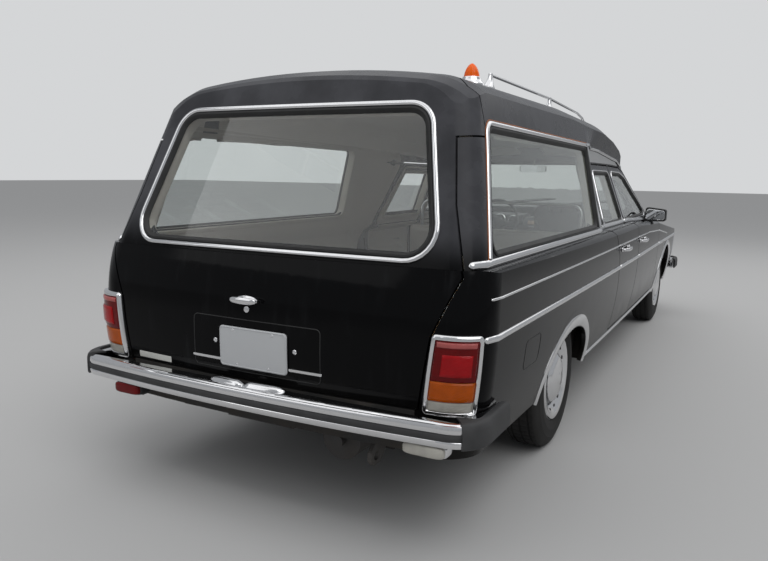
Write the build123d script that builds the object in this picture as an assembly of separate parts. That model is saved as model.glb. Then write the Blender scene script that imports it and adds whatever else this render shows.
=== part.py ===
from build123d import *
from math import cos, radians, sin, tan
import os

# Long-wheelbase hearse with a raised load space, four doors and a top-hinged tailgate.
# Stations along X run forward from the rear number plate; save() moves the middle of the
# length to X = 0. +Y is the left side and Z = 0 is the road.

# Overall size
REAR_X = -100
FRONT_X = 5474
MID_X = (REAR_X + FRONT_X) / 2
BELT_Z = 968
SILL_Z = 340

# Running gear
REAR_AXLE_X = 1244
FRONT_AXLE_X = 4644
AXLE_Z = 328
TRACK_Y = 718
TYRE_R = 328
TYRE_W = 180
RIM_R = 192
STUB_R = 16
TOW_EYE_R = 16
# The column runs forward and down from the middle of the steering wheel
STEERING_AXIS = Location((3590, 365, 880), (0, 115, 0))

# Wall thickness
BODY_WALL = 60
CABIN_WALL = 52
FENDER_WALL = 34
GLASS_DEPTH = 20
GLASS = 6

# Bumpers
BUMPER_HALF = 886
BUMPER_CORNER_R = 120
BUMPER_REACH = 300
BUMPER_Z = (424, 504)
STRIP_Z = (427, 474)
STRIP_THICKNESS = 6

# Shut lines
DOOR_GAP = 8
GATE_GAP = 7
FRONT_DOOR_X = 3977
MIDDLE_GAP_X = 2932
HOOD_HALF = 640
HOOD_REAR_X = 4222
HOOD_FRONT_X = 5370
INNER_WING_Y = 436
WHEELHOUSE_Y = 552

# Lower body: height, half width, rear face, front face
BODY_LEVELS = [
    (300, 818, 48, 5322),
    (520, 866, 4, 5372),
    (740, 885, 0, 5392),
    (880, 882, 16, 5386),
    (1010, 868, 54, 5362),
]
BODY_CORNER_R = 140

# Top of the lower body: station, height
SHOULDER_LINE = [(-160, 968), (3100, 962), (4000, 925), (4700, 850), (5480, 768)]
SHOULDER_R = 62

# Greenhouse: height, rear face, half width at load space, at doors, windscreen centre,
# windscreen corner station and half width
GLASS_LEVELS = [
    (930, 44, 838, 792, 4254, 4104, 716),
    (1335, 199, 752, 645, 3610, 3492, 588),
    (1700, 339, 672, 762, 3030, 2930, 640),
]
GLASS_CORNER_R = 95

# Roof: station, half width, side top, shoulder y and z, crown edge y and z, crown height
ROOF_STATIONS = [
    (-100, 676, 1375, 600, 1466, 462, 1512, 1540),
    (255, 676, 1375, 600, 1466, 462, 1512, 1540),
    (285, 706, 1412, 628, 1512, 487, 1563, 1594),
    (325, 728, 1440, 650, 1548, 506, 1600, 1632),
    (375, 740, 1456, 662, 1568, 516, 1621, 1655),
    (440, 745, 1462, 668, 1577, 520, 1630, 1665),
    (1700, 745, 1462, 668, 1580, 520, 1632, 1672),
    (2500, 731, 1448, 654, 1562, 508, 1614, 1656),
    (2850, 717, 1425, 636, 1532, 492, 1586, 1630),
    (3150, 702, 1388, 616, 1488, 470, 1543, 1588),
    (3350, 688, 1350, 600, 1430, 455, 1484, 1522),
    (3540, 664, 1300, 580, 1345, 436, 1390, 1418),
    (4400, 664, 1300, 580, 1345, 436, 1390, 1418),
]
# Drip rail: station, height
DRIP_LINE = [(0, 1470), (400, 1462), (1950, 1437), (2475, 1421), (3150, 1375), (3420, 1330), (3700, 1270)]


def save(name, shape):
    os.makedirs("parts", exist_ok=True)
    export_step(shape.moved(Location((-MID_X, 0, 0))), f"parts/{name}.step")


def solids_of(shape, smallest=3000):
    """The solids of a cut result, without slivers."""
    return Compound([s for s in shape.solids() if s.volume > smallest])


def block(x0, x1, y0, y1, z0, z1):
    return Pos((x0 + x1) / 2, (y0 + y1) / 2, (z0 + z1) / 2) * Box(x1 - x0, y1 - y0, z1 - z0)


def prism_side(points, y0, y1, radius=0):
    """An outline seen from the side, as x and z, extruded from y0 to y1."""
    corners = [(x, y0, z) for x, z in points]
    line = FilletPolyline(*corners, radius=radius, close=True) if radius else Polyline(*corners, close=True)
    return extrude(make_face(line), y1 - y0, dir=(0, 1, 0))


def prism_rear(points, x0, x1, radius=0):
    """An outline seen from the rear, as y and z, extruded from x0 to x1."""
    corners = [(x0, y, z) for y, z in points]
    line = FilletPolyline(*corners, radius=radius, close=True) if radius else Polyline(*corners, close=True)
    return extrude(make_face(line), x1 - x0, dir=(1, 0, 0))


def prism_plan(points, z0, z1):
    """An outline seen from above, as x and y, extruded from z0 to z1."""
    line = Polyline(*[(x, y, z0) for x, y in points], close=True)
    return extrude(make_face(line), z1 - z0, dir=(0, 0, 1))


def both_sides(half):
    """A half outline from the middle out, closed by its mirror image."""
    return half + [(-y, z) for y, z in reversed(half) if y]


def grown(points, distance):
    """A closed outline moved outward by a distance, or inward where it is negative."""
    area = sum(a[0] * b[1] - b[0] * a[1] for a, b in zip(points, points[1:] + points[:1]))
    turn = 1 if area > 0 else -1
    count = len(points)
    moved = []
    for i in range(count):
        before, here, after = points[i - 1], points[i], points[(i + 1) % count]
        normals = []
        for a, b in ((before, here), (here, after)):
            dx, dy = b[0] - a[0], b[1] - a[1]
            length = (dx * dx + dy * dy) ** 0.5
            normals.append((turn * dy / length, -turn * dx / length))
        (ax, ay), (bx, by) = normals
        scale = distance / (1 + ax * bx + ay * by)
        moved.append((here[0] + (ax + bx) * scale, here[1] + (ay + by) * scale))
    return moved


def mirror_y(shape):
    return mirror(shape, about=Plane.XZ)


def body_ring(z, half, rear, front, inset):
    """One level of the lower body in plan: bowed ends, round corners and barrelled sides."""
    half -= inset
    rear += inset
    front -= inset
    r = BODY_CORNER_R - 0.6 * inset
    c = r * (1 - cos(radians(45)))
    rear_half, front_half = half - 12, half - 26
    x0, x1 = rear + 28, front - 30

    def corner(x, y, sx, sy):
        return (x + sx * c, y + sy * c, z)

    a = (x0, r - rear_half, z)
    b = (x0, rear_half - r, z)
    side_a, side_b = (x0 + r, rear_half, z), (x1 - r, front_half, z)
    e = (x1, front_half - r, z)
    f = (x1, r - front_half, z)
    side_c, side_d = (x1 - r, -front_half, z), (x0 + r, -rear_half, z)
    edges = [
        ThreePointArc(a, (rear, 0, z), b),
        ThreePointArc(b, corner(x0, rear_half, 1, -1), side_a),
        ThreePointArc(side_a, (2600, half, z), side_b),
        ThreePointArc(side_b, corner(x1, front_half, -1, -1), e),
        ThreePointArc(e, (front, 0, z), f),
        ThreePointArc(f, corner(x1, -front_half, -1, 1), side_c),
        ThreePointArc(side_c, (2600, -half, z), side_d),
        ThreePointArc(side_d, corner(x0, -rear_half, 1, 1), a),
    ]
    return make_face(edges)


def shoulder_form(drop, inset):
    """The rounded top of the lower body, which falls toward the front lamps."""
    sections = []
    half = 889 - inset
    r = SHOULDER_R
    c = r * (1 - cos(radians(45)))
    for x, z in SHOULDER_LINE:
        z -= drop
        edges = [
            Line((x, half, z - r), (x, half, 200)),
            Line((x, half, 200), (x, -half, 200)),
            Line((x, -half, 200), (x, -half, z - r)),
            ThreePointArc((x, -half, z - r), (x, c - half, z - c), (x, r - half, z)),
            Line((x, r - half, z), (x, half - r, z)),
            ThreePointArc((x, half - r, z), (x, half - c, z - c), (x, half, z - r)),
        ]
        sections.append(make_face(edges))
    return loft(sections, ruled=True)


def lower_form(inset=0, closed_top=False):
    """The lower body as a solid; an inset one is the room inside its wall."""
    rings = [body_ring(*level, inset) for level in BODY_LEVELS]
    form = loft(rings)
    if inset == 0 or closed_top:
        return form & shoulder_form(inset, inset)
    return form


def glass_ring(z, rear, load_half, door_half, screen, corner_x, corner_half, inset):
    """One level of the greenhouse in plan: tailgate, load space, doors and curved screen."""
    rear += inset
    load_half -= inset
    door_half -= inset
    screen -= inset * 1.5
    corner_x -= inset * 1.5
    corner_half -= inset * 0.6
    r = GLASS_CORNER_R - 0.6 * inset
    c = r * (1 - cos(radians(45)))
    x0 = rear + 20
    rear_half = load_half - 8
    hinge_x = corner_x - 112
    mid = ((hinge_x + corner_x) / 2 + 16, (door_half + corner_half) / 2 + 14)

    def half_edges(s):
        return [
            ThreePointArc((x0, s * (rear_half - r), z), (x0 + c, s * (rear_half - c), z), (x0 + r, s * rear_half, z)),
            Line((x0 + r, s * rear_half, z), (1930, s * load_half, z)),
            Line((1930, s * load_half, z), (2240, s * door_half, z)),
            Line((2240, s * door_half, z), (hinge_x, s * door_half, z)),
            ThreePointArc((hinge_x, s * door_half, z), (mid[0], s * mid[1], z), (corner_x, s * corner_half, z)),
        ]

    edges = [ThreePointArc((x0, r - rear_half, z), (rear, 0, z), (x0, rear_half - r, z))]
    edges += half_edges(1)
    edges.append(ThreePointArc((corner_x, corner_half, z), (screen, 0, z), (corner_x, -corner_half, z)))
    edges += [e for e in half_edges(-1)]
    return make_face(edges)


def roof_section(x, half, side_z, shoulder_y, shoulder_z, crown_y, crown_z, top, inset):
    """One cross section of the roof; outside the side top it falls away past the greenhouse wall."""
    low, wide = 850, 800
    half += 30 - inset
    side_z -= inset
    shoulder_y -= inset * 0.7
    shoulder_z -= inset * 0.7
    crown_z -= inset
    top -= inset
    wide_z = side_z - 2 * (wide - half)
    edges = [
        Line((x, half, side_z), (x, wide, wide_z)),
        Line((x, wide, wide_z), (x, wide, low)),
        Line((x, wide, low), (x, -wide, low)),
        Line((x, -wide, low), (x, -wide, wide_z)),
        Line((x, -wide, wide_z), (x, -half, side_z)),
        ThreePointArc((x, -half, side_z), (x, -shoulder_y, shoulder_z), (x, -crown_y, crown_z)),
        ThreePointArc((x, -crown_y, crown_z), (x, 0, top), (x, crown_y, crown_z)),
        ThreePointArc((x, crown_y, crown_z), (x, shoulder_y, shoulder_z), (x, half, side_z)),
    ]
    return make_face(edges)


def cabin_form(inset=0):
    """The greenhouse and roof as one solid, or the room inside its wall."""
    walls = loft([glass_ring(*level, inset) for level in GLASS_LEVELS], ruled=True)
    stations = [(x + (inset if 0 < i < 6 else 0), *rest) for i, (x, *rest) in enumerate(ROOF_STATIONS)]
    roof = loft([roof_section(*s, inset) for s in stations], ruled=True)
    sky = block(-100, 4400, -900, 900, 1240, 1800) - roof
    return walls - sky


# Openings, as x and z seen from the side
FRONT_DOOR = [(2936, 372), (3977, 372), (3977, 905), (3958, 950), (3606, 1192), (3440, 1296), (3300, 1326), (2950, 1334), (2936, 968)]
REAR_DOOR = [(2272, 372), (2928, 372), (2928, 968), (2912, 1334), (2385, 1337), (2250, 972), (2150, 962), (2172, 925), (2240, 820), (2268, 620)]
FRONT_DOOR_GLASS = [(2985, 985), (3862, 985), (3585, 1150), (3425, 1252), (3290, 1282), (2990, 1288)]
REAR_DOOR_GLASS = [(2312, 985), (2882, 985), (2870, 1288), (2428, 1290)]
LOAD_GLASS = [(236, 1003), (1864, 1003), (1876, 1413), (412, 1432)]
# Openings, as y and z seen from the rear
GATE_HALF = [(0, 507), (650, 507), (690, 755), (776, 945), (709, 1170), (666, 1398), (790, 1408), (790, 1740), (0, 1740)]
GATE_FRONT = [(-80, -800), (374, -800), (374, -650), (538, -500), (562, -250)]
GATE_GLASS_HALF = [(0, 1003), (668, 1003), (549, 1496), (0, 1496)]
SCREEN_HALF = [(0, 992), (645, 992), (540, 1372), (0, 1372)]
TAIL_LAMP = [(676, 508), (900, 508), (900, 757), (708, 757)]
HEAD_LAMP = [(612, 500), (900, 500), (900, 742), (612, 742)]
GRILLE_HALF = [(0, 512), (285, 512), (285, 800), (0, 800)]
FRONT_ARCH = (405, 352)
REAR_ARCH = (402, 316)


def arch(x, size, y0, y1):
    """A flattened wheel arch cut through the side."""
    ellipse = Plane.XZ * Pos(x, AXLE_Z) * Ellipse(*size)
    return extrude(ellipse, y1 - y0, dir=(0, 1, 0)).moved(Location((0, y0, 0)))


class Forms:
    """The shared solids from which the panels are cut."""

    def __init__(self):
        self.lower = lower_form(0)
        self.lower_room = lower_form(BODY_WALL)
        self.fender_room = lower_form(FENDER_WALL, True)
        self.cabin = cabin_form(0)
        self.cabin_room = cabin_form(CABIN_WALL)
        self.glass_out = cabin_form(GLASS_DEPTH)
        self.glass_in = cabin_form(GLASS_DEPTH + GLASS)
        self.deep_lower = lower_form(18)
        self.lower_clear = lower_form(-4)
        self.cabin_wall = self.cabin - self.cabin_room
        under_belt = self.lower_room & block(-100, 5480, -900, 900, 0, 932)
        self.lower_wall = self.lower - under_belt - self.cabin_room
        self.glass_wall = self.glass_out - self.glass_in
        self.above_drip = prism_side(DRIP_LINE + [(3700, 2000), (0, 2000)], -900, 900)


def door_cut(points, side, extra=0):
    outline = grown(points, extra) if extra else points
    cut = prism_side(outline, 450, 960)
    return cut if side > 0 else mirror_y(cut)


def make_gate_cut(extra=0):
    half = GATE_HALF[1:-1]
    outline = half + [(-y, z) for y, z in reversed(half)]
    plan = GATE_FRONT + [(x, -y) for x, y in reversed(GATE_FRONT)]
    if extra:
        outline, plan = grown(outline, extra), grown(plan, extra)
    return prism_rear(outline, -90 - extra, 700) & prism_plan(plan, 300, 1900)


def gate_window():
    half = GATE_GLASS_HALF[1:-1]
    return prism_rear(half + [(-y, z) for y, z in reversed(half)], -60, 420, 82)


def screen_window():
    half = SCREEN_HALF[1:-1]
    return prism_rear(half + [(-y, z) for y, z in reversed(half)], 3330, 4400, 60)


def make_side(forms):
    """The left body side: quarter panel, posts, sill and the rail over the doors."""
    upper = forms.cabin_wall & block(-80, 4104, 0, 900, 930, 1480)
    upper -= forms.above_drip
    upper -= screen_window()
    upper -= block(3985, 4300, -900, 900, 900, 1000)
    lower = forms.lower_wall & block(-80, 3985, 30, 900, 330, 975)
    side = lower + upper
    side -= make_gate_cut(GATE_GAP)
    for outline in (FRONT_DOOR, REAR_DOOR):
        side -= door_cut(outline, 1, DOOR_GAP)
    side -= prism_side(LOAD_GLASS, 600, 900, 45)
    side -= arch(REAR_AXLE_X, REAR_ARCH, 500, 900)
    side -= block(REAR_AXLE_X - 360, REAR_AXLE_X + 360, 400, TRACK_Y + TYRE_W / 2 + 22, 300, 690)
    side -= prism_rear(TAIL_LAMP, -100, 96)
    side -= block(-80, 130, 0, 642, 300, 500)
    return solids_of(side, 20000)


def make_roof(forms):
    roof = forms.cabin_wall & forms.above_drip
    roof -= make_gate_cut(GATE_GAP)
    roof -= screen_window()
    return solids_of(roof)


def make_gate(forms):
    wall = forms.cabin_wall + forms.lower_wall
    gate = wall & make_gate_cut()
    deep = forms.glass_out + forms.deep_lower
    relief = make_gate_cut() - make_gate_cut(-18)
    gate -= deep & relief
    gate -= gate_window()
    return solids_of(gate)


def make_door(forms, outline, window, rear_relief):
    """A left door as thick as the body side; its hinge edge is at its front."""
    wall = (forms.lower_wall & block(2000, 4010, 500, 900, 372, 975)) + (forms.cabin_wall & block(2000, 4010, 400, 900, 930, 1400))
    cut = door_cut(outline, 1)
    door = wall & cut
    deep = forms.glass_out + forms.deep_lower
    door -= deep & (cut - cut.moved(Location((rear_relief, 0, 0))))
    door -= prism_side(window, 400, 900, 26)
    return solids_of(door)


def pane(forms, cutter, x0, x1, y0, y1):
    return solids_of(forms.glass_wall & cutter & block(x0, x1, y0, y1, 940, 1560), 500)


def make_fender(forms):
    shell = (forms.lower & block(3985, 5480, 0, 900, 330, 975)) - forms.fender_room
    fender = shell - block(3900, 5480, -10, HOOD_HALF + 4, 300, 1000)
    fender -= arch(FRONT_AXLE_X, FRONT_ARCH, 500, 900)
    fender -= prism_rear(HEAD_LAMP, 5200, 5480)
    return solids_of(fender)


def make_front_panel(forms):
    """The panel behind the bumper and around the radiator opening, with the slam rail."""
    shell = (forms.lower & block(5200, 5480, -HOOD_HALF, HOOD_HALF, 340, 752)) - forms.fender_room
    half = [(y, z) for y, z in GRILLE_HALF if y]
    panel = shell - prism_rear(half + [(-y, z) for y, z in reversed(half)], 5200, 5480)
    panel -= prism_rear(HEAD_LAMP, 5200, 5480)
    panel -= mirror_y(prism_rear(HEAD_LAMP, 5200, 5480))
    return solids_of(panel)


def make_hood():
    """The hood is crowned across its width over a hollow underside."""
    def section(x, half, edge, crown, drop):
        edges = [
            ThreePointArc((x, -half, edge - drop), (x, 0, crown - drop), (x, half, edge - drop)),
            Line((x, half, edge - drop), (x, half, edge - 26)),
            Line((x, half, edge - 26), (x, -half, edge - 26)),
            Line((x, -half, edge - 26), (x, -half, edge - drop)),
        ]
        return make_face(edges)

    stations = [(HOOD_REAR_X, HOOD_HALF - 4, 908, 972), (4700, HOOD_HALF - 4, 856, 918), (5220, HOOD_HALF - 4, 802, 862), (HOOD_FRONT_X, HOOD_HALF - 4, 784, 828)]
    outer = loft([section(*s, 0) for s in stations], ruled=True)
    inner = loft([section(x, half - 34, edge - 18, crown - 24, 0) for x, half, edge, crown in stations], ruled=True)
    return outer - (inner & block(HOOD_REAR_X + 50, HOOD_FRONT_X - 50, -800, 800, 700, 1100))


def make_cowl(forms):
    """Firewall, scuttle and the strip under the windscreen."""
    wall = forms.cabin_wall & block(3990, 4300, -760, 760, 930, 992)
    wall -= screen_window()
    wall -= block(4214, 4400, -900, 900, 900, 1000)
    firewall = block(4110, 4150, -786, 786, 372, 868) + block(4110, 4150, -620, 620, 868, 910) - block(4100, 4160, -132, 132, 300, 470)
    top = prism_side([(3995, 900), (4216, 880), (4216, 948), (4130, 955), (3995, 958)], -630, 630)
    cheeks = block(3990, 4110, 630, 786, 372, 868)
    cowl = firewall + (top - forms.cabin) + wall + cheeks + mirror_y(cheeks)
    outline = [(4150, 470), (4480, 470), (4500, 520), (4790, 520), (4810, 470), (5290, 470), (5290, 715), (4150, 845)]
    inner_wing = prism_side(outline, INNER_WING_Y, INNER_WING_Y + 14)
    return solids_of(cowl + inner_wing + mirror_y(inner_wing))


def make_floor(forms):
    """Floor plate with tunnel, rails, rear kick-up, wheelhouses and the panel under the tailgate."""
    floor = block(60, 4110, -900, 900, 345, 372)
    floor -= block(REAR_AXLE_X - 400, REAR_AXLE_X + 400, 560, 900, 300, 760)
    floor -= block(REAR_AXLE_X - 400, REAR_AXLE_X + 400, -900, -560, 300, 760)
    floor -= block(2300, 4110, -120, 120, 300, 400)
    floor -= block(REAR_AXLE_X - 220, REAR_AXLE_X + 300, -560, 560, 300, 400)
    step = block(REAR_AXLE_X - 240, REAR_AXLE_X + 320, -578, 578, 345, 500)
    step -= block(REAR_AXLE_X - 220, REAR_AXLE_X + 300, -560, 560, 300, 480)
    tunnel = prism_rear([(-150, 345), (-130, 480), (130, 480), (150, 345), (120, 345), (104, 456), (-104, 456), (-120, 345)], 2300, 4108)
    house = block(REAR_AXLE_X - 418, REAR_AXLE_X + 418, WHEELHOUSE_Y, 830, 345, 708)
    house -= block(REAR_AXLE_X - 400, REAR_AXLE_X + 400, 578, 900, 300, 690)
    rail = block(160, 700, 420, 500, 290, 345) + block(1800, 4110, 340, 400, 300, 345)
    front_rail = block(4110, 5285, 340, 400, 300, 372)
    inside = (floor + house + mirror_y(house)) & forms.lower_room
    pan = inside + step + tunnel + rail + mirror_y(rail) + front_rail + mirror_y(front_rail)
    pan += (forms.lower & block(-50, 125, -640, 640, 345, 372)) + (forms.lower_wall & block(-50, 125, -640, 640, 360, 498))
    return solids_of(pan)


def bumper_fill(x_face, sign, t, z0, z1, edge):
    """The room behind a bumper face at depth t: bowed face, round corners, edges rounded by a radius."""
    half = BUMPER_HALF - t
    r = BUMPER_CORNER_R - 0.5 * t
    c = r * (1 - cos(radians(45)))
    x0 = x_face + sign * t
    a = x0 + sign * 38
    end = x_face + sign * (38 + BUMPER_REACH)
    edges = [
        ThreePointArc((a, r - half, z0), (x0, 0, z0), (a, half - r, z0)),
        ThreePointArc((a, half - r, z0), (a + sign * c, half - c, z0), (a + sign * r, half, z0)),
        Line((a + sign * r, half, z0), (end, half, z0)),
        Line((end, half, z0), (end, -half, z0)),
        Line((end, -half, z0), (a + sign * r, -half, z0)),
        ThreePointArc((a + sign * r, -half, z0), (a + sign * c, c - half, z0), (a, r - half, z0)),
    ]
    fill = extrude(make_face(edges), z1 - z0, dir=(0, 0, 1))
    rims = [e for e in fill.edges() if abs(e.bounding_box().size.Z) < 1 and abs(e.center().X - end) > 1]
    return fillet(rims, edge) if edge else fill


def make_bumper(forms, x_face, sign):
    """A pressed bumper blade, rounded above and below, on two brackets."""
    z0, z1 = BUMPER_Z
    blade = bumper_fill(x_face, sign, 0, z0, z1, 20)
    blade -= bumper_fill(x_face, sign, 13, z0 + 13, z1 - 13, 8)
    blade -= block(*sorted((x_face + sign * 66, x_face + sign * 600)), 66 - BUMPER_HALF, BUMPER_HALF - 66, 300, 600)
    blade -= forms.lower_clear
    bracket = block(*sorted((x_face + sign * 24, x_face + sign * 128)), 430, 490, 440, 488)
    return blade, (bracket + mirror_y(bracket)) - forms.lower


def make_bumper_strip(forms, x_face, sign):
    """The rubber strip round a bumper, with a thicker wrap at each corner."""
    z0, z1 = STRIP_Z
    strip = bumper_fill(x_face, sign, -STRIP_THICKNESS, z0, z1, 2) - bumper_fill(x_face, sign, 0, BUMPER_Z[0], BUMPER_Z[1], 20)
    ends = block(*sorted((x_face + sign * 60, x_face + sign * 600)), -960, 960, z0 - 1, z1 + 1)
    front = strip - ends
    return solids_of((front + (strip & ends)) - forms.lower_clear, 500)


def revolved(points, y_mid, x=0, z=0):
    """A ring about a lateral axle from an outline of radius and offset along the axle."""
    line = Polyline(*[(0, y, r) for r, y in points], close=True)
    ring = revolve(make_face(line), Axis((0, 0, 0), (0, 1, 0)), 360)
    return ring.moved(Location((x, y_mid, z)))


def make_tyre():
    """Round-shouldered tyre about the origin, outer side toward +Y."""
    h = TYRE_W / 2
    outline = [
        (RIM_R, h - 22), (RIM_R + 14, h - 8), (RIM_R + 50, h), (RIM_R + 86, h - 4), (TYRE_R - 24, h - 12),
        (TYRE_R - 8, h - 22), (TYRE_R, h - 36), (TYRE_R, 36 - h), (TYRE_R - 8, 22 - h), (TYRE_R - 24, 12 - h),
        (RIM_R + 86, 4 - h), (RIM_R + 50, -h), (RIM_R + 14, 8 - h), (RIM_R, 22 - h), (RIM_R, 40 - h),
        (RIM_R + 96, 20 - h), (RIM_R + 110, 30 - h), (RIM_R + 110, h - 30), (RIM_R + 96, h - 20), (RIM_R, h - 40),
    ]
    return revolved(outline, 0)


def make_rim():
    """Pressed steel wheel with vent holes, a trim ring and a domed hub cap."""
    h = TYRE_W / 2
    outline = [
        (RIM_R, h - 22), (RIM_R + 6, h - 12), (RIM_R - 4, h - 6), (RIM_R - 30, h - 18), (RIM_R - 46, h - 34),
        (RIM_R - 60, h - 40), (RIM_R - 84, h - 26), (112, h - 24), (96, h - 8), (60, h + 4), (22, h + 9), (0, h + 10),
        (0, h - 40), (STUB_R + 2, h - 40), (STUB_R + 2, h - 52), (120, h - 52), (130, h - 58), (RIM_R - 34, h - 58), (RIM_R - 30, h - 70),
        (RIM_R - 12, h - 80), (RIM_R - 12, 34 - h), (RIM_R, 22 - h),
    ]
    rim = revolved(outline, 0)
    for k in range(14):
        a = 360 / 14 * k
        hole = extrude(Plane.XZ * SlotOverall(26, 13, rotation=90), 60, both=True)
        rim -= hole.moved(Location((0, 0, 0), (0, a, 0)) * Location((0, 0, RIM_R - 52)))
    return rim


def make_knuckle():
    """A left knuckle about its wheel centre: upright, stub shaft and steering arm."""
    inboard = TYRE_W / 2 - 52
    stub = Pos(0, (inboard + 10 - 130) / 2, 0) * Rot(90, 0, 0) * Cylinder(STUB_R, inboard + 10 + 130)
    disc = Pos(0, -52, 0) * Rot(90, 0, 0) * Cylinder(128, 12)
    upright = block(-22, 22, -140, -84, -150, 150)
    arm = block(-170, 0, -140, -116, -70, -50)
    return stub + disc + upright + arm


def place(shape, x, side):
    """A left part about the wheel centre, moved to its axle, mirrored on the right."""
    moved = shape.moved(Location((x, TRACK_Y, AXLE_Z)))
    return moved if side > 0 else mirror_y(moved)


def make_front_axle():
    """Cross member with upper and lower wishbones that end short of the knuckles."""
    x = FRONT_AXLE_X
    beam = block(x - 60, x + 60, -410, 410, 232, 300)
    lower = prism_plan([(x - 120, 300), (x + 120, 300), (x + 30, TRACK_Y - 152), (x - 30, TRACK_Y - 152)], 196, 222)
    upper = prism_plan([(x - 90, 400), (x + 90, 400), (x + 24, TRACK_Y - 152), (x - 24, TRACK_Y - 152)], 462, 480)
    tower = block(x - 80, x + 80, 400, 424, 300, 500)
    drop = block(x - 110, x + 110, 300, 340, 222, 236)
    spring = Pos(x, 470, 342) * Cylinder(42, 240)
    half = lower + upper + tower + drop + spring
    return beam + half + mirror_y(half)


def make_rear_axle():
    """Final drive, half shafts and trailing arms."""
    x = REAR_AXLE_X
    case = Pos(x, 0, AXLE_Z) * Sphere(112) + block(x - 60, x + 150, -70, 70, 270, 400)
    end = TRACK_Y + TYRE_W / 2 - 52 - 10
    shaft = Pos(x, end / 2, AXLE_Z) * Rot(90, 0, 0) * Cylinder(STUB_R, end)
    drum = Pos(x, TRACK_Y - 52, AXLE_Z) * Rot(90, 0, 0) * Cylinder(126, 46)
    arm = prism_plan([(x - 60, TRACK_Y - 75), (x - 60, 520), (x + 420, 250), (x + 470, 330), (x + 60, TRACK_Y - 75)], 288, 330)
    spring = Pos(x + 60, 500, 335) * Cylinder(50, 20)
    half = shaft + drum + arm + spring
    return case + half + mirror_y(half)


def make_underbody():
    """Gearbox, propeller shaft, silencers, exhaust pipe and fuel tank."""
    box = prism_plan([(3350, -64), (3350, 64), (3800, 98), (4160, 98), (4160, -98), (3800, -98)], 262, 440)
    shaft = Pos((1394 + 3352) / 2, 0, 300) * Rot(0, 90, 0) * Cylinder(30, 3352 - 1394)
    pipe = Pos(2090, -250, 262) * Rot(0, 90, 0) * Cylinder(22, 3820)
    silencer = Pos(2500, -250, 262) * Rot(0, 90, 0) * Cylinder(75, 620)
    tail = Pos(420, -250, 262) * Rot(0, 90, 0) * Cylinder(82, 420)
    tank = block(330, 760, 60, 410, 205, 345)
    hanger = block(2480, 2520, -270, -230, 262, 345) + block(400, 440, -270, -230, 262, 345) + block(3900, 3940, -270, -90, 262, 300)
    return box + shaft + pipe + silencer + tail + tank + hanger


def make_tow_eyes():
    """A lug with a round eye at each end of the right-hand rails."""
    rear = prism_side([(160, 345), (160, 290), (122, 252), (74, 252), (54, 272), (54, 304), (96, 345)], -468, -452)
    rear -= Pos(90, -460, 284) * Rot(90, 0, 0) * Cylinder(TOW_EYE_R, 40)
    front = prism_side([(5190, 300), (5285, 300), (5285, 330), (5352, 330), (5368, 314), (5368, 276), (5350, 258), (5300, 258)], -378, -362)
    front -= Pos(5334, -370, 294) * Rot(90, 0, 0) * Cylinder(TOW_EYE_R, 40)
    return rear, front


def make_engine():
    """The engine and its cooler as plain blocks at their real places."""
    body = block(4160, 4860, -190, 190, 300, 730)
    cooler = block(5170, 5230, -300, 300, 420, 700)
    mount = block(4500, 4560, -340, 340, 330, 370)
    base = block(5170, 5230, -400, 400, 372, 420)
    return body + cooler + mount + base


def make_seats():
    """Two front seats with rounded cushions and leaning backs."""
    base = prism_side([(2960, 450), (3480, 480), (3500, 590), (3440, 612), (2960, 560)], 160, 640, 22)
    back = prism_side([(2850, 505), (2985, 520), (2920, 1080), (2870, 1120), (2770, 1100)], 160, 640, 22)
    foot = block(3000, 3420, 200, 560, 372, 470)
    half = base + back + foot
    return half + mirror_y(half)


def make_load_deck(forms):
    """Load floor on its cross members, with guide rails and rollers."""
    deck = block(128, 2600, -640, 640, 540, 560)
    deck += block(128, 152, -640, 640, 372, 540)
    for y in (-560, 540):
        deck += block(1700, 1740, y, y + 20, 372, 540)
    rails = block(150, 2560, 300, 316, 560, 592)
    deck += rails + mirror_y(rails)
    for x in range(260, 2600, 380):
        deck += Pos(x, 0, 566) * Rot(90, 0, 0) * Cylinder(16, 540)
    beside_wheel = block(REAR_AXLE_X - 420, REAR_AXLE_X + 420, WHEELHOUSE_Y - 1, 700, 300, 712)
    deck -= beside_wheel + mirror_y(beside_wheel)
    return deck & forms.lower_room


def make_bulkhead(forms):
    """Wall between load floor and front seats, open over the tunnel."""
    wall = block(2600, 2640, -640, 640, 372, 900) - block(2590, 2650, -151, 151, 300, 481)
    return wall & forms.lower_room


def make_dashboard():
    """Dash panel, instrument hood and the steering column."""
    panel = prism_side([(3820, 700), (3760, 760), (3740, 860), (3790, 915), (3975, 925), (3975, 720)], -700, 700, 18)
    hood = prism_side([(3725, 850), (3745, 935), (3900, 950), (3900, 850)], 170, 560, 16)
    column = STEERING_AXIS * Pos(0, 0, 215) * Cylinder(28, 380)
    stay = block(3975, 4110, -600, 600, 780, 880)
    return panel + hood + column + stay


def make_steering_wheel():
    """Rim, padded hub and two level spokes, square to the column."""
    rim = Torus(195, 12)
    hub = Cylinder(42, 34) + Box(34, 390, 14)
    return (rim + hub).moved(STEERING_AXIS)


def make_mirror(forms):
    """Left door mirror: housing on a short foot."""
    housing = prism_rear([(790, 930), (945, 936), (945, 1024), (800, 1040)], 3735, 3800, 18)
    foot = block(3745, 3790, 784, 830, 945, 975)
    return (housing + foot) - forms.cabin - forms.lower


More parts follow.
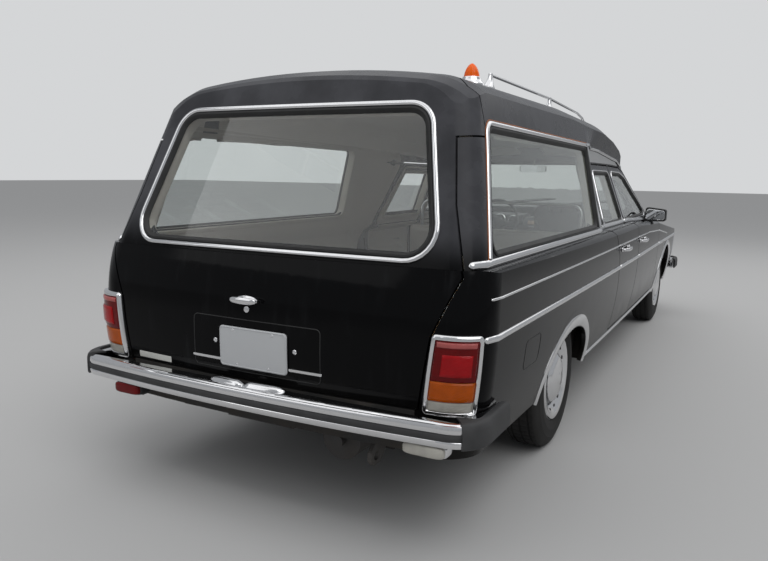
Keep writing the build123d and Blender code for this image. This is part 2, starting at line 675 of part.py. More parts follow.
def make_grille():
    """Radiator surround with a centre post and plain slats."""
    half = [(y, z) for y, z in GRILLE_HALF if y]
    outline = half + [(-y, z) for y, z in reversed(half)]
    frame = prism_rear(grown(outline, -1), 5378, 5408, 24) - prism_rear(grown(outline, -26), 5320, 5420, 12)
    frame += prism_rear(grown([(-285, 512), (285, 512), (285, 750), (-285, 750)], -1), 5330, 5380, 24) - prism_rear(grown([(-285, 512), (285, 512), (285, 750), (-285, 750)], -14), 5320, 5420, 12)
    grille = frame + block(5370, 5402, -9, 9, 530, 780)
    for k in range(7):
        z = 560 + k * 30
        grille += block(5372, 5396, -262, 262, z - 4, z + 4)
    return grille


def make_roof_rails():
    """Bar on three feet along each side of the roof."""
    y = 450
    feet = [(1156, 1652), (2160, 1648), (3057, 1596)]
    bar = None
    for (xa, za), (xb, zb) in zip(feet, feet[1:]):
        path = Line((xa, y, za + 78), (xb, y, zb + 78))
        piece = sweep(Plane(path @ 0, z_dir=path % 0) * Circle(13), path)
        bar = piece if bar is None else bar + piece
    for x, z in feet:
        bar += Pos(x, y, z + 40) * Cylinder(9, 84)
        bar += Pos(x, y, z + 2) * Cone(34, 14, 34)
        bar += Pos(x, y, z + 78) * Sphere(16)
    return bar


def make_lamp_bases(forms):
    bases = Pos(990, 425, 1640) * Cylinder(42, 80)
    return bases - forms.cabin


def make_amber_lenses(forms):
    profile = Polyline((0, 0, 0), (36, 0, 0), (34, 0, 24), (24, 0, 52), (12, 0, 64), (0, 0, 68), close=True)
    return revolve(make_face(profile), Axis.Z, 360).moved(Location((990, 425, 1680)))


def make_lamp_block(forms, outline, x0, x1, depth):
    """A left lamp as a block that follows the body corner."""
    cut = prism_rear(grown(outline, -1.5), x0, x1)
    return (forms.lower_clear & cut) - forms.lower_room


def build():
    forms = Forms()
    lower_y = {1: "left", -1: "right"}

    def pair(name, left):
        for side, word in lower_y.items():
            save(f"{name}_{word}", left if side > 0 else mirror_y(left))

    pair("side", make_side(forms))
    save("roof", make_roof(forms))
    save("tailgate", make_gate(forms))
    save("tailgate_glass", pane(forms, gate_window(), -60, 420, -800, 800))
    save("windscreen", pane(forms, screen_window(), 3330, 4300, -800, 800))
    load_glass = pane(forms, prism_side(LOAD_GLASS, 600, 900, 45), 150, 1900, 600, 900)
    save("load_windows", load_glass + mirror_y(load_glass))
    pair("door_front", make_door(forms, FRONT_DOOR, FRONT_DOOR_GLASS, 16))
    pair("door_rear", make_door(forms, REAR_DOOR, REAR_DOOR_GLASS, 16))
    pair("glass_front", pane(forms, prism_side(FRONT_DOOR_GLASS, 500, 900, 26), 2900, 4000, 500, 900))
    pair("glass_rear", pane(forms, prism_side(REAR_DOOR_GLASS, 500, 900, 26), 2200, 2950, 500, 900))
    pair("fender", make_fender(forms))
    save("front_panel", make_front_panel(forms))
    save("hood", make_hood())
    save("cowl", make_cowl(forms))
    save("floor_pan", make_floor(forms))
    rear_face, front_face = REAR_X + STRIP_THICKNESS, FRONT_X - STRIP_THICKNESS
    for name, face, sign in (("rear", rear_face, 1), ("front", front_face, -1)):
        bar, brackets = make_bumper(forms, face, sign)
        save(f"{name}_bumper", bar + brackets)
        save(f"{name}_bumper_strip", make_bumper_strip(forms, face, sign))
    lamp = make_lamp_block(forms, TAIL_LAMP, -60, 94, 60)
    save("tail_lamps", lamp + mirror_y(lamp))
    lamp = make_lamp_block(forms, HEAD_LAMP, 5280, 5460, 60)
    save("headlamps", lamp + mirror_y(lamp))
    save("grille", make_grille())
    rails = make_roof_rails() - forms.cabin + make_lamp_bases(forms)
    save("roof_rails", rails + mirror_y(rails))
    lens = make_amber_lenses(forms)
    save("amber_lamps", lens + mirror_y(lens))
    pair("mirror", make_mirror(forms))
    save("seats", make_seats())
    save("load_deck", make_load_deck(forms))
    save("bulkhead", make_bulkhead(forms))
    save("dashboard", make_dashboard())
    save("steering_wheel", make_steering_wheel())
    save("engine", make_engine())
    save("front_axle", make_front_axle())
    save("rear_axle", make_rear_axle())
    save("underbody", make_underbody())
    rear_eye, front_eye = make_tow_eyes()
    save("tow_eyes", rear_eye + front_eye)
    tyre, rim, knuckle = make_tyre(), make_rim(), make_knuckle()
    for name, x in (("front", FRONT_AXLE_X), ("rear", REAR_AXLE_X)):
        for side, word in lower_y.items():
            save(f"tyre_{name}_{word}", place(tyre, x, side))
            save(f"rim_{name}_{word}", place(rim, x, side))
    for side, word in lower_y.items():
        save(f"knuckle_{word}", place(knuckle, FRONT_AXLE_X, side))


if __name__ == "__main__":
    build()
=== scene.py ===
import math
from functools import partial

import bmesh
import bpy
import numpy as np
from mathutils import Matrix, Vector


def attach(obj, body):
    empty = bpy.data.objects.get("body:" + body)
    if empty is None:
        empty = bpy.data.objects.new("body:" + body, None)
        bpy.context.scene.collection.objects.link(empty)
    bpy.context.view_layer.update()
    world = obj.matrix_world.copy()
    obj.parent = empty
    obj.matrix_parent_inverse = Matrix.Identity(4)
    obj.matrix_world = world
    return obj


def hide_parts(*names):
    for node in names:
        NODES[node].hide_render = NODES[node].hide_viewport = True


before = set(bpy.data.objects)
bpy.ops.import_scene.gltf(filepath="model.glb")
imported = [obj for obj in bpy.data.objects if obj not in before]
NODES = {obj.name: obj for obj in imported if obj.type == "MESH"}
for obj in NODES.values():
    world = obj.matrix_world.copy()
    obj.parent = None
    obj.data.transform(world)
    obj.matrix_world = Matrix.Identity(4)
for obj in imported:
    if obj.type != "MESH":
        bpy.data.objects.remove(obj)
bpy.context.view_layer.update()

# Lengths are metres. X runs forward from the rear plate's face, and MID moves the middle of
# the car to X = 0 when a mesh is made. +Y is the left side.
MID = 2.687
SIDES = {"left": 1, "right": -1}
AXLES = {"front": 4.644, "rear": 1.244}
AXLE_Z, TRACK_Y = 0.328, 0.718
TYRE_R, TYRE_W, RIM_R = 0.328, 0.180, 0.192

# Lower body, one row a level: height, half width, rear face, front face
BODY_LEVELS = np.array([
    (0.300, 0.818, 0.048, 5.322), (0.520, 0.866, 0.004, 5.372), (0.740, 0.885, 0.0, 5.392),
    (0.880, 0.882, 0.016, 5.386), (1.010, 0.868, 0.054, 5.362),
])
BODY_LOW, BODY_HIGH, BODY_CORNER = 0.300, 1.010, 0.140
REAR_BOW, REAR_DRAW = 0.028, 0.012
FRONT_BOW, FRONT_DRAW = 0.030, 0.026
SHOULDER_LINE = np.array([(-0.160, 0.968), (3.100, 0.962), (4.000, 0.925), (4.700, 0.850), (5.480, 0.768)])
# Greenhouse, one row a level: height, rear face, half width at the load space and at the doors,
# screen centre, screen corner and its half width
GLASS_LEVELS = np.array([
    (0.930, 0.044, 0.838, 0.792, 4.254, 4.104, 0.716), (1.335, 0.199, 0.752, 0.645, 3.610, 3.492, 0.588),
    (1.700, 0.339, 0.672, 0.762, 3.030, 2.930, 0.640),
])
GLASS_CORNER, GATE_BOW, GATE_DRAW = 0.095, 0.020, 0.008
LOAD_END, DOOR_START = 1.93, 2.24
DRIP_LINE = np.array([
    (0.0, 1.470), (0.4, 1.462), (1.950, 1.437), (2.475, 1.421),
    (3.150, 1.375), (3.420, 1.330), (3.700, 1.270),
])


# Body surface
def column(table, z, index):
    """A column of a table at height z, straight between its rows."""
    return np.interp(z, table[:, 0], table[:, index])


def level(z, index):
    """A column of the lower body at height z: the polynomial through all five levels."""
    zs, values = BODY_LEVELS[:, 0], BODY_LEVELS[:, index]
    z = np.asarray(z, float)
    total = np.zeros_like(z)
    for i, value in enumerate(values):
        others = np.delete(zs, i)
        total = total + value * np.prod([(z - other) / (zs[i] - other) for other in others], axis=0)
    return total


def circle_y(x, ax, ay, bx, by, cx, cy):
    """Height over x of the circle through three points: centre from the two chords' midlines, upper
    branch."""
    d = 2 * (ax * (by - cy) + bx * (cy - ay) + cx * (ay - by))
    a2, b2, c2 = ax**2 + ay**2, bx**2 + by**2, cx**2 + cy**2
    px = (a2 * (by - cy) + b2 * (cy - ay) + c2 * (ay - by)) / d
    py = (a2 * (cx - bx) + b2 * (ax - cx) + c2 * (bx - ax)) / d
    r = np.hypot(ax - px, ay - py)
    return py + np.sqrt(np.maximum(r**2 - (x - px) ** 2, 0))


def lower_y(x, z):
    """Half width of the lower body: a circle through both corners and the widest place, then quarter
    circles."""
    x, z = np.broadcast_arrays(x, np.clip(z, BODY_LOW, BODY_HIGH))
    half, rear, front = level(z, 1), level(z, 2), level(z, 3)
    r, widest_x = BODY_CORNER, 2.6
    xa, xb = rear + REAR_BOW + r, front - FRONT_BOW - r
    rear_half, front_half = half - REAR_DRAW, half - FRONT_DRAW
    y = circle_y(np.clip(x, xa, xb), xa, rear_half, widest_x, half, xb, front_half)
    y = np.where(x < xa, rear_half - r + np.sqrt(r**2 - np.clip(xa - x, 0, r) ** 2), y)
    return np.where(x > xb, front_half - r + np.sqrt(r**2 - np.clip(x - xb, 0, r) ** 2), y)


def shoulder_z(x):
    return np.interp(x, *SHOULDER_LINE.T)


def drip_z(x):
    return np.interp(x, *DRIP_LINE.T)


def cabin_y(x, z):
    """Half width of the greenhouse: straight lines between its levels and between its corners in plan."""
    x, z = np.broadcast_arrays(x, z)
    rear, load, door, corner_x = (column(GLASS_LEVELS, z, k) for k in (1, 2, 3, 5))
    x0 = rear + GATE_BOW + GLASS_CORNER
    half, bend = load - GATE_DRAW, corner_x - 0.112
    share = (x - LOAD_END) / (DOOR_START - LOAD_END)
    y = np.where(x < LOAD_END, half + (load - half) * (x - x0) / (LOAD_END - x0), door)
    y = np.where((x >= LOAD_END) & (x < DOOR_START), load + (door - load) * share, y)
    dip = np.clip(x0 - x, 0, GLASS_CORNER)
    y = np.where(x < x0, half - GLASS_CORNER + np.sqrt(GLASS_CORNER**2 - dip**2), y)
    return np.where(x > bend, door - 0.3 * (x - bend), y)


def xyz(x, y, z):
    """Points from three coordinates, each a number or an array."""
    return np.stack(np.broadcast_arrays(x, y, z), -1)


def on_side(side, upper):
    """The body side as a surface of station and height: the greenhouse, or the lower body."""
    width = cabin_y if upper else lower_y
    return lambda x, z: xyz(x, side * width(x, z), z)


def tail_point(y, z):
    """A point of the rear face at offset y and height z: bowed face, then a quarter circle at the
    corner."""
    y, z = np.broadcast_arrays(y, z)
    low = z < 0.95
    held = np.clip(z, BODY_LOW, BODY_HIGH)
    rear = np.where(low, level(held, 2), column(GLASS_LEVELS, z, 1))
    half = np.where(low, level(held, 1) - REAR_DRAW, column(GLASS_LEVELS, z, 2) - GATE_DRAW)
    bow, r = np.where(low, REAR_BOW, GATE_BOW), np.where(low, BODY_CORNER, GLASS_CORNER)
    flat = half - r
    over = np.clip(np.abs(y) - flat, 0, r)
    return xyz(rear + bow * np.minimum((y / flat) ** 2, 1) + r - np.sqrt(r**2 - over**2), y, z)


def around_corner(end, s, z, side, out=0.0):
    """A point s metres from the middle along the front or rear panel and round its corner, moved
    outward."""
    index, bow, draw, way = (2, REAR_BOW, REAR_DRAW, 1) if end == "rear" else (3, FRONT_BOW, FRONT_DRAW, -1)
    face, r = level(z, index), BODY_CORNER
    flat = level(z, 1) - draw - r
    turn = np.clip((s - flat) / r, 0, math.pi / 2)
    past = np.clip(s - flat - r * math.pi / 2, 0, None)
    behind = np.where(s < flat, bow * (s / flat) ** 2, bow + r - r * np.cos(turn) + past)
    y = np.where(s < flat, s, flat + r * np.sin(turn))
    return xyz(face + way * (behind - out * np.cos(turn)), side * (y + out * np.sin(turn)), z)


def screen_point(y, z):
    """The windscreen at offset y and height z: an arc in plan through its middle and both corners."""
    middle, corner, half = (column(GLASS_LEVELS, z, k) for k in (4, 5, 6))
    h = middle - corner
    r = (half**2 + h**2) / (2 * h)
    return xyz(middle - r + np.sqrt(np.maximum(r**2 - y**2, 0)), y, z)


# Paths and profiles
def lap(count):
    """Angles of one full turn in even steps."""
    return 2 * math.pi * np.arange(count) / count


def grid(first, second):
    """Two parameters over a grid, each given as its two ends and a count."""
    return np.meshgrid(np.linspace(*first), np.linspace(*second), indexing="ij")


def smooth(value, low, high):
    """Share that eases from 0 at low to 1 at high."""
    t = np.clip((value - low) / (high - low), 0, 1)
    return t * t * (3 - 2 * t)


def unit(vectors):
    return vectors / (np.linalg.norm(vectors, axis=-1, keepdims=True) + 1e-12)


def rounded(points, radius, steps=8):
    """A closed outline with each corner replaced by an arc of the given radius."""
    pts = np.asarray(points, float)
    arcs = []
    for here, before, after in zip(pts, np.roll(pts, 1, 0), np.roll(pts, -1, 0)):
        a, b = before - here, after - here
        shorter = min(np.linalg.norm(a), np.linalg.norm(b))
        a, b = unit(a), unit(b)
        half_angle = math.acos(np.clip(a @ b, -1, 1)) / 2
        cut = min(radius / math.tan(half_angle), 0.45 * shorter)
        r = cut * math.tan(half_angle)
        centre = here + unit(a + b) * r / math.sin(half_angle)
        start, end = (math.atan2(*(here + e * cut - centre)[::-1]) for e in (a, b))
        turn = (end - start + math.pi) % (2 * math.pi) - math.pi
        t = start + turn * np.linspace(0, 1, steps + 1)
        arcs.append(centre + r * np.stack([np.cos(t), np.sin(t)], -1))
    return np.concatenate(arcs)


def box(u0, u1, v0, v1):
    """The four corners of an upright rectangle."""
    return [(u0, v0), (u1, v0), (u1, v1), (u0, v1)]


def oval(y, z, ry, rz, count):
    return np.stack([y + ry * np.cos(lap(count)), z + rz * np.sin(lap(count))], -1)


def rounded_box(u0, u1, v0, v1, ru, rv):
    """A rectangle whose corners are quarter ellipses."""
    t = np.linspace(0, math.pi / 2, 5)
    corners = ((u1 - ru, v1 - rv), (u0 + ru, v1 - rv), (u0 + ru, v0 + rv), (u1 - ru, v0 + rv))
    turns = [t + k * math.pi / 2 for k in range(4)]
    arcs = [np.stack([u + ru * np.cos(a), v + rv * np.sin(a)], -1) for (u, v), a in zip(corners, turns)]
    return np.concatenate(arcs)


def dense(points, gap=0.03, closed=True):
    """An outline with points added so that no two lie further apart than gap."""
    pts = np.asarray(points, float)
    runs = []
    for a, b in zip(pts, np.roll(pts, -1, 0) if closed else pts[1:]):
        n = max(1, math.ceil(np.linalg.norm(b - a) / gap))
        runs.append(a + (b - a) * (np.arange(n) / n)[:, None])
    return np.concatenate(runs if closed else runs + [pts[-1:]])


def grown(points, distance):
    """A closed outline of sharp corners moved outward: each corner slides along the sum of its two
    edge normals."""
    pts = np.asarray(points, float)
    before, after = np.roll(pts, 1, 0), np.roll(pts, -1, 0)
    turn = np.sign(np.sum(pts[:, 0] * after[:, 1] - after[:, 0] * pts[:, 1]))
    na, nb = (turn * unit(np.stack([e[:, 1], -e[:, 0]], -1)) for e in (pts - before, after - pts))
    return pts + (na + nb) * distance / (1 + np.sum(na * nb, 1))[:, None]


def mirrored(half):
    """A half outline of (y, z) from the middle out, closed by its mirror image."""
    half = np.asarray(half, float)
    return np.concatenate([half, (half * [-1, 1])[::-1]])


def half_round(width, height, sink=0.002):
    """Profile of a domed strip: half an ellipse on a flat foot sunk into the panel."""
    a = np.linspace(0, math.pi, 9)
    top = np.stack([-width / 2 * np.cos(a), height * np.sin(a)], -1)
    return np.concatenate([[[-width / 2, -sink]], top, [[width / 2, -sink]]])


def surface_frames(surface, path, closed=False, toward=None):
    """Points of a path on a surface with its tangent and its normal, which faces the given direction."""
    u, v = np.asarray(path, float).T
    e = 1e-3
    p = surface(u, v)
    n = unit(np.cross(surface(u + e, v) - surface(u - e, v), surface(u, v + e) - surface(u, v - e)))
    t = unit(np.roll(p, -1, 0) - np.roll(p, 1, 0) if closed else np.gradient(p, axis=0))
    if toward is None:
        toward = (p - [MID, 0, 0.9]) * [0.25, 1, 1]
    return p, t, n * np.sign(np.sum(n * toward, axis=1))[:, None]


# Meshes
def put_mesh(name, verts, faces, material, body="body", sharp=35, replaced=(), slot=None, turn=True):
    """A finished piece that rides on one body; turn makes the faces of a closed one point outwards."""
    verts = np.reshape(verts, (-1, 3)) - [MID, 0, 0]
    mesh = bpy.data.meshes.new(name)
    mesh.from_pydata(verts.tolist(), [], faces)
    mesh.update()
    mesh.shade_smooth()
    if sharp < 180:
        mesh.set_sharp_from_angle(angle=math.radians(sharp))
    mesh.materials.append(material)
    obj = bpy.data.objects.new(name, mesh)
    bpy.context.scene.collection.objects.link(obj)
    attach(obj, body)
    if replaced:
        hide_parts(*replaced)
    if turn:
        outward(mesh)
    return obj


def outward(mesh):
    """Turns every face outwards where the mesh came out inside out."""
    work = bmesh.new()
    work.from_mesh(mesh)
    bmesh.ops.recalc_face_normals(work, faces=work.faces)
    work.to_mesh(mesh)
    work.free()


def grid_faces(nu, nv, close_u=False, close_v=False):
    """Quads of a grid of nu by nv points, wrapped round where a direction is closed."""
    iu, iv = np.arange(nu if close_u else nu - 1), np.arange(nv if close_v else nv - 1)
    a, b = np.meshgrid(iu, iv, indexing="ij")
    c, d = (a + 1) % nu, (b + 1) % nv
    return np.stack([a * nv + b, c * nv + b, c * nv + d, a * nv + d], -1).reshape(-1, 4)


def solid_grid(name, points, material, body="body", close_u=False, low=None, high=None, **extra):
    """Rings joined one to the next. Both ends close in one face, or in a fan to a pole where one is
    given."""
    nu, nv = points.shape[:2]
    verts = points.reshape(-1, 3)
    faces = grid_faces(nu, nv, close_u, True).tolist()
    if not close_u:
        for pole, first in ((low, 0), (high, (nu - 1) * nv)):
            ring = list(range(first, first + nv))
            if pole is None:
                faces.append(ring)
                continue
            faces += [[len(verts), a, b] for a, b in zip(ring, ring[1:] + ring[:1])]
            verts = np.concatenate([verts, [pole]])
    return put_mesh(name, verts, faces, material, body, **extra)


def shell(name, front, back, material, body="body", **extra):
    """A closed slab between two grids of the same size, joined round their rims."""
    nu, nv = front.shape[:2]
    index = np.arange(nu * nv).reshape(nu, nv)
    rim = np.concatenate([index[:-1, 0], index[-1, :-1], index[:0:-1, -1], index[0, :0:-1]])
    sheet = grid_faces(nu, nv)
    edge = np.stack([rim, np.roll(rim, -1), np.roll(rim, -1) + nu * nv, rim + nu * nv], -1)
    faces = np.concatenate([sheet, sheet[:, ::-1] + nu * nv, edge]).tolist()
    return put_mesh(name, np.concatenate([front, back]), faces, material, body, **extra)


def bead(name, surface, path, profile, material, body="body", closed=True, **extra):
    """A strip carried along a path on a surface: profile x goes across the path, away from the middle of
    a closed one, and profile y out of the surface."""
    p, t, n = surface_frames(surface, path, closed)
    across = np.cross(n, t)
    if closed:
        across *= np.sign(np.sum((p - p.mean(0)) * across))
    profile = np.asarray(profile, float)
    points = p[:, None] + across[:, None] * profile[:, :1] + n[:, None] * profile[:, 1:]
    return solid_grid(name, points, material, body, close_u=closed, **extra)


def tube(name, points, radius, material, body="body", sides=12, up=(0, 0, 1), flat=1.0):
    """A round bar along a path; the radius is a number or one for each point, and its ends close in a
    half circle."""
    p = np.asarray(points, float)
    r = radius + np.zeros(len(p))
    starts, ends = unit(p[0] - p[1]), unit(p[-1] - p[-2])
    cap = np.array([0.95, 0.80, 0.45])
    lift, shrink = cap[:, None], np.sqrt(1 - cap**2)
    p = np.concatenate([p[0] + starts * r[0] * lift, p, p[-1] + ends * r[-1] * lift[::-1]])
    r = np.concatenate([r[0] * shrink, r, r[-1] * shrink[::-1]])[:, None, None]
    t = unit(np.gradient(p, axis=0))
    a = unit(np.cross(t, up))
    b = np.cross(t, a)
    turn = lap(sides)[:, None]
    points = p[:, None] + r * (np.cos(turn) * a[:, None] + flat * np.sin(turn) * b[:, None])
    return solid_grid(name, points, material, body, sharp=60)


def pod(name, centre, size, material, power=4.0, body="body", **extra):
    """A rounded block: superellipsoid of the given power about its centre, closed at both poles."""
    u, v = lap(28) - math.pi, np.linspace(-math.pi / 2, math.pi / 2, 16)[:, None]

    def bent(wave):
        return np.sign(wave) * np.abs(wave) ** (2.0 / power)

    block = xyz(bent(np.cos(v)) * bent(np.cos(u)), bent(np.cos(v)) * bent(np.sin(u)), bent(np.sin(v)))
    points = block * np.array(size) / 2 + centre
    low, high = points[0].mean(0), points[-1].mean(0)
    return solid_grid(name, points[1:-1], material, body, low=low, high=high, sharp=50, **extra)


# Window outlines, doors and arches
LOAD_GLASS = [(0.236, 1.003), (1.864, 1.003), (1.876, 1.413), (0.412, 1.432)]
REAR_DOOR_GLASS = [(2.312, 0.985), (2.882, 0.985), (2.870, 1.288), (2.428, 1.290)]
FRONT_DOOR_GLASS = [
    (2.985, 0.985), (3.862, 0.985), (3.585, 1.150), (3.425, 1.252), (3.290, 1.282), (2.990, 1.288),
]
DOOR_GLASSES = {"rear": REAR_DOOR_GLASS, "front": FRONT_DOOR_GLASS}
GATE_GLASS = mirrored([(0.668, 1.003), (0.549, 1.496)])
SCREEN_GLASS = mirrored([(0.645, 0.992), (0.540, 1.372)])
GATE_GLASS_R, LOAD_GLASS_R, DOOR_GLASS_R, SCREEN_GLASS_R = 0.082, 0.045, 0.026, 0.060
# Half length and height of each arch's ellipse about its axle
ARCHES = {"front": (0.405, 0.352), "rear": (0.402, 0.316)}
REAR_ARCH_DROP = 0.070
REAR_DOOR_X, FRONT_DOOR_X = (2.286, 2.922), (2.942, 3.970)


# Materials
def group(name, inputs, output, build):
    """A shader node group with named value inputs; build adds its nodes and returns the socket of its
    one output."""
    tree = bpy.data.node_groups.new(name, "ShaderNodeTree")
    for label, default in inputs.items():
        socket = tree.interface.new_socket(label, in_out="INPUT", socket_type="NodeSocketFloat")
        socket.default_value = default
    tree.interface.new_socket(output, in_out="OUTPUT", socket_type="NodeSocketFloat")
    source, sink = tree.nodes.new("NodeGroupInput"), tree.nodes.new("NodeGroupOutput")
    tree.links.new(build(tree, source.outputs), sink.inputs[output])
    return tree


def feed(tree, target, value):
    """Links a socket to another, or sets its number."""
    if hasattr(value, "links"):
        tree.links.new(value, target)
    else:
        target.default_value = value


def node(tree, kind, links=(), **values):
    """A node with its settings and sockets given by name, and linked from other sockets."""
    made = tree.nodes.new(kind)
    for key, value in values.items():
        if hasattr(made, key):
            setattr(made, key, value)
        else:
            made.inputs[key.replace("_", " ")].default_value = value
    for key, socket in dict(links).items():
        feed(tree, made.inputs[key], socket)
    return made


def math_node(tree, operation, a, b):
    return node(tree, "ShaderNodeMath", {0: a, 1: b}, operation=operation).outputs[0]


def ramp(tree, value, low, high):
    """Smooth step of a value between two others, each a number or a socket."""
    ends = {"Value": value, "From Min": low, "From Max": high}
    return node(tree, "ShaderNodeMapRange", ends, interpolation_type="SMOOTHSTEP").outputs["Result"]


def object_position(tree, scale=(1, 1, 1)):
    coords = tree.nodes.new("ShaderNodeTexCoord")
    return node(tree, "ShaderNodeMapping", {"Vector": coords.outputs["Object"]}, Scale=scale).outputs["Vector"]


def noise(tree, links=(), place=None, **values):
    """Noise on the object's position, or on another place."""
    vector = place or object_position(tree)
    return node(tree, "ShaderNodeTexNoise", {"Vector": vector, **dict(links)}, **values).outputs["Fac"]


def build_patches(tree, given):
    """Soft blotches: smooth step of a noise from the softness below 0.5 to the softness above."""
    blotch = noise(tree, {"Scale": given["Scale"]}, Detail=5.0)
    low, high = (math_node(tree, way, 0.5, given["Softness"]) for way in ("SUBTRACT", "ADD"))
    return ramp(tree, blotch, low, high)


def build_height(tree, given):
    """Share that grows from 0 at one height to 1 at another, with an uneven edge."""
    split = node(tree, "ShaderNodeSeparateXYZ", {"Vector": object_position(tree)})
    centred = math_node(tree, "SUBTRACT", noise(tree, Scale=3.0, Detail=4.0), 0.5)
    uneven = math_node(tree, "MULTIPLY", centred, given["Uneven"])
    return ramp(tree, math_node(tree, "ADD", split.outputs["Z"], uneven), given["Low"], given["High"])


def build_grain(tree, given):
    """Fine pebbled grain: distance field of cells, plus finer noise."""
    place = {"Vector": object_position(tree), "Scale": given["Scale"]}
    cells = node(tree, "ShaderNodeTexVoronoi", place)
    finer = noise(tree, {"Scale": given["Scale"]}, Detail=3.0)
    return math_node(tree, "ADD", cells.outputs["Distance"], math_node(tree, "MULTIPLY", finer, 0.6))


def build_rain_marks(tree, given):
    """Marks that run down the panel: noise squeezed along Z, kept where it is high."""
    place = {0: object_position(tree, (1, 1, 0.12)), "Scale": given["Scale"]}
    stretched = node(tree, "ShaderNodeVectorMath", place, operation="SCALE")
    return ramp(tree, noise(tree, place=stretched.outputs["Vector"], Scale=1.0, Detail=6.0), 0.5, 0.78)


PATCHES = group("soft_patches", {"Scale": 4.0, "Softness": 0.2}, "Mask", build_patches)
HEIGHT = group("height_share", {"Low": 0.0, "High": 1.0, "Uneven": 0.2}, "Mask", build_height)
GRAIN = group("pebbled_grain", {"Scale": 600.0}, "Height", build_grain)
RAIN = group("rain_marks", {"Scale": 18.0}, "Mask", build_rain_marks)


def shade(colour, share, lift=0.0):
    return tuple(c * share + lift for c in colour)


class Finish:
    """A material built round one Principled shader."""

    def __init__(self, name, colour, roughness, metallic=0.0, **sockets):
        self.material = bpy.data.materials.new(name)
        self.material.use_nodes = True
        self.tree = self.material.node_tree
        self.inputs = self.tree.nodes["Principled BSDF"].inputs
        values = {"Base Color": (*colour, 1), "Roughness": roughness, "Metallic": metallic}
        values.update({key.replace("_", " "): value for key, value in sockets.items()})
        for key, value in values.items():
            self.inputs[key].default_value = value

    def use(self, tree_group, **values):
        """An effect group placed in this material with its own values; returns its one output."""
        made = self.tree.nodes.new("ShaderNodeGroup")
        made.node_tree = tree_group
        for key, value in values.items():
            made.inputs[key].default_value = value
        return made.outputs[0]

    def present(self, socket):
        """What a socket of the shader gets now: another socket, or its own value."""
        target = self.inputs[socket]
        return target.links[0].from_socket if target.links else target.default_value

    def tint(self, mask, colour, amount=1.0):
        """Mixes another colour over the present one where the mask is 1."""
        mix = node(self.tree, "ShaderNodeMix", data_type="RGBA")
        feed(self.tree, mix.inputs["Factor"], math_node(self.tree, "MULTIPLY", mask, amount))
        feed(self.tree, mix.inputs["A"], self.present("Base Color"))
        mix.inputs["B"].default_value = (*colour, 1)
        feed(self.tree, self.inputs["Base Color"], mix.outputs["Result"])

    def vary(self, mask, change):
        """Adds change times the mask to the roughness."""
        share = math_node(self.tree, "MULTIPLY", mask, change)
        feed(self.tree, self.inputs["Roughness"], math_node(self.tree, "ADD", self.present("Roughness"), share))

    def bump(self, height, strength, distance):
        relief = node(self.tree, "ShaderNodeBump", {"Height": height}, Strength=strength, Distance=distance)
        feed(self.tree, self.inputs["Normal"], relief.outputs["Normal"])

    def clear_for_lamps(self, colour):
        """Lets the lamps' light through thin glass, so that it reaches what is behind."""
        clear = node(self.tree, "ShaderNodeBsdfTransparent", Color=(*colour, 1))
        path = self.tree.nodes.new("ShaderNodeLightPath")
        lit = self.tree.nodes["Principled BSDF"].outputs[0]
        links = {"Fac": path.outputs["Is Shadow Ray"], 1: lit, 2: clear.outputs[0]}
        mix = node(self.tree, "ShaderNodeMixShader", links)
        feed(self.tree, self.tree.nodes["Material Output"].inputs["Surface"], mix.outputs[0])


def gloss_black():
    """Old black gloss paint: greyer and rougher above the belt and on the roof, partly faded and partly a painted
    reflection of bright sky, with dust low down and faint marks of rain.
    """
    paint = Finish("gloss_black_paint", (0.0030, 0.0030, 0.0034), 0.07, IOR=1.18)
    high = paint.use(HEIGHT, Low=0.97, High=1.12, Uneven=0.08)
    low = paint.use(HEIGHT, Low=0.60, High=0.30, Uneven=0.14)
    blotch = paint.use(PATCHES, Scale=5.0, Softness=0.22)
    rain = paint.use(RAIN, Scale=26.0)
    worn = math_node(paint.tree, "ADD", math_node(paint.tree, "MULTIPLY", blotch, 0.45), 0.55)
    # Paler grey above the belt: partly faded paint, partly a painted sky reflection on the upper body.
    faded_and_sky_sheen = math_node(paint.tree, "MULTIPLY", high, worn)
    paint.tint(faded_and_sky_sheen, (0.088, 0.089, 0.098), 0.82)
    paint.tint(low, (0.050, 0.045, 0.038), 0.22)
    paint.tint(math_node(paint.tree, "MULTIPLY", rain, blotch), (0.022, 0.023, 0.025), 0.30)
    for mask, change in ((faded_and_sky_sheen, 0.24), (low, 0.16), (blotch, 0.04)):
        paint.vary(mask, change)
    return paint.material


def bright_chrome():
    """Plated trim with a faint haze and a few greyed spots."""
    chrome = Finish("bright_chrome", (0.74, 0.74, 0.75), 0.07, 1.0)
    haze = chrome.use(PATCHES, Scale=14.0, Softness=0.25)
    spots = chrome.use(PATCHES, Scale=220.0, Softness=0.05)
    chrome.vary(haze, 0.10)
    chrome.tint(math_node(chrome.tree, "MULTIPLY", spots, haze), (0.50, 0.48, 0.45), 0.18)
    return chrome.material


def satin_steel():
    """Brushed stainless sheet on the posts and over the doors."""
    steel = Finish("satin_steel", (0.60, 0.61, 0.62), 0.30, 1.0)
    brushed = noise(steel.tree, place=object_position(steel.tree, (260, 260, 9)), Scale=1.0, Detail=3.0)
    steel.vary(brushed, 0.12)
    steel.bump(brushed, 0.06, 0.0004)
    return steel.material


def weathered_rubber(name, colour, roughness):
    rubber = Finish(name, colour, roughness, Specular_IOR_Level=0.35)
    dust = rubber.use(PATCHES, Scale=9.0, Softness=0.25)
    rubber.tint(dust, shade(colour, 2.2, 0.012), 0.5)
    rubber.vary(dust, 0.12)
    rubber.bump(rubber.use(GRAIN, Scale=900.0), 0.12, 0.0004)
    return rubber.material


def plain_plastic(name, colour, roughness=0.45, grain=500.0):
    """Moulded plastic with a leather-like grain."""
    plastic = Finish(name, colour, roughness)
    plastic.vary(plastic.use(PATCHES, Scale=12.0, Softness=0.2), 0.10)
    plastic.bump(plastic.use(GRAIN, Scale=grain), 0.25, 0.0004)
    return plastic.material


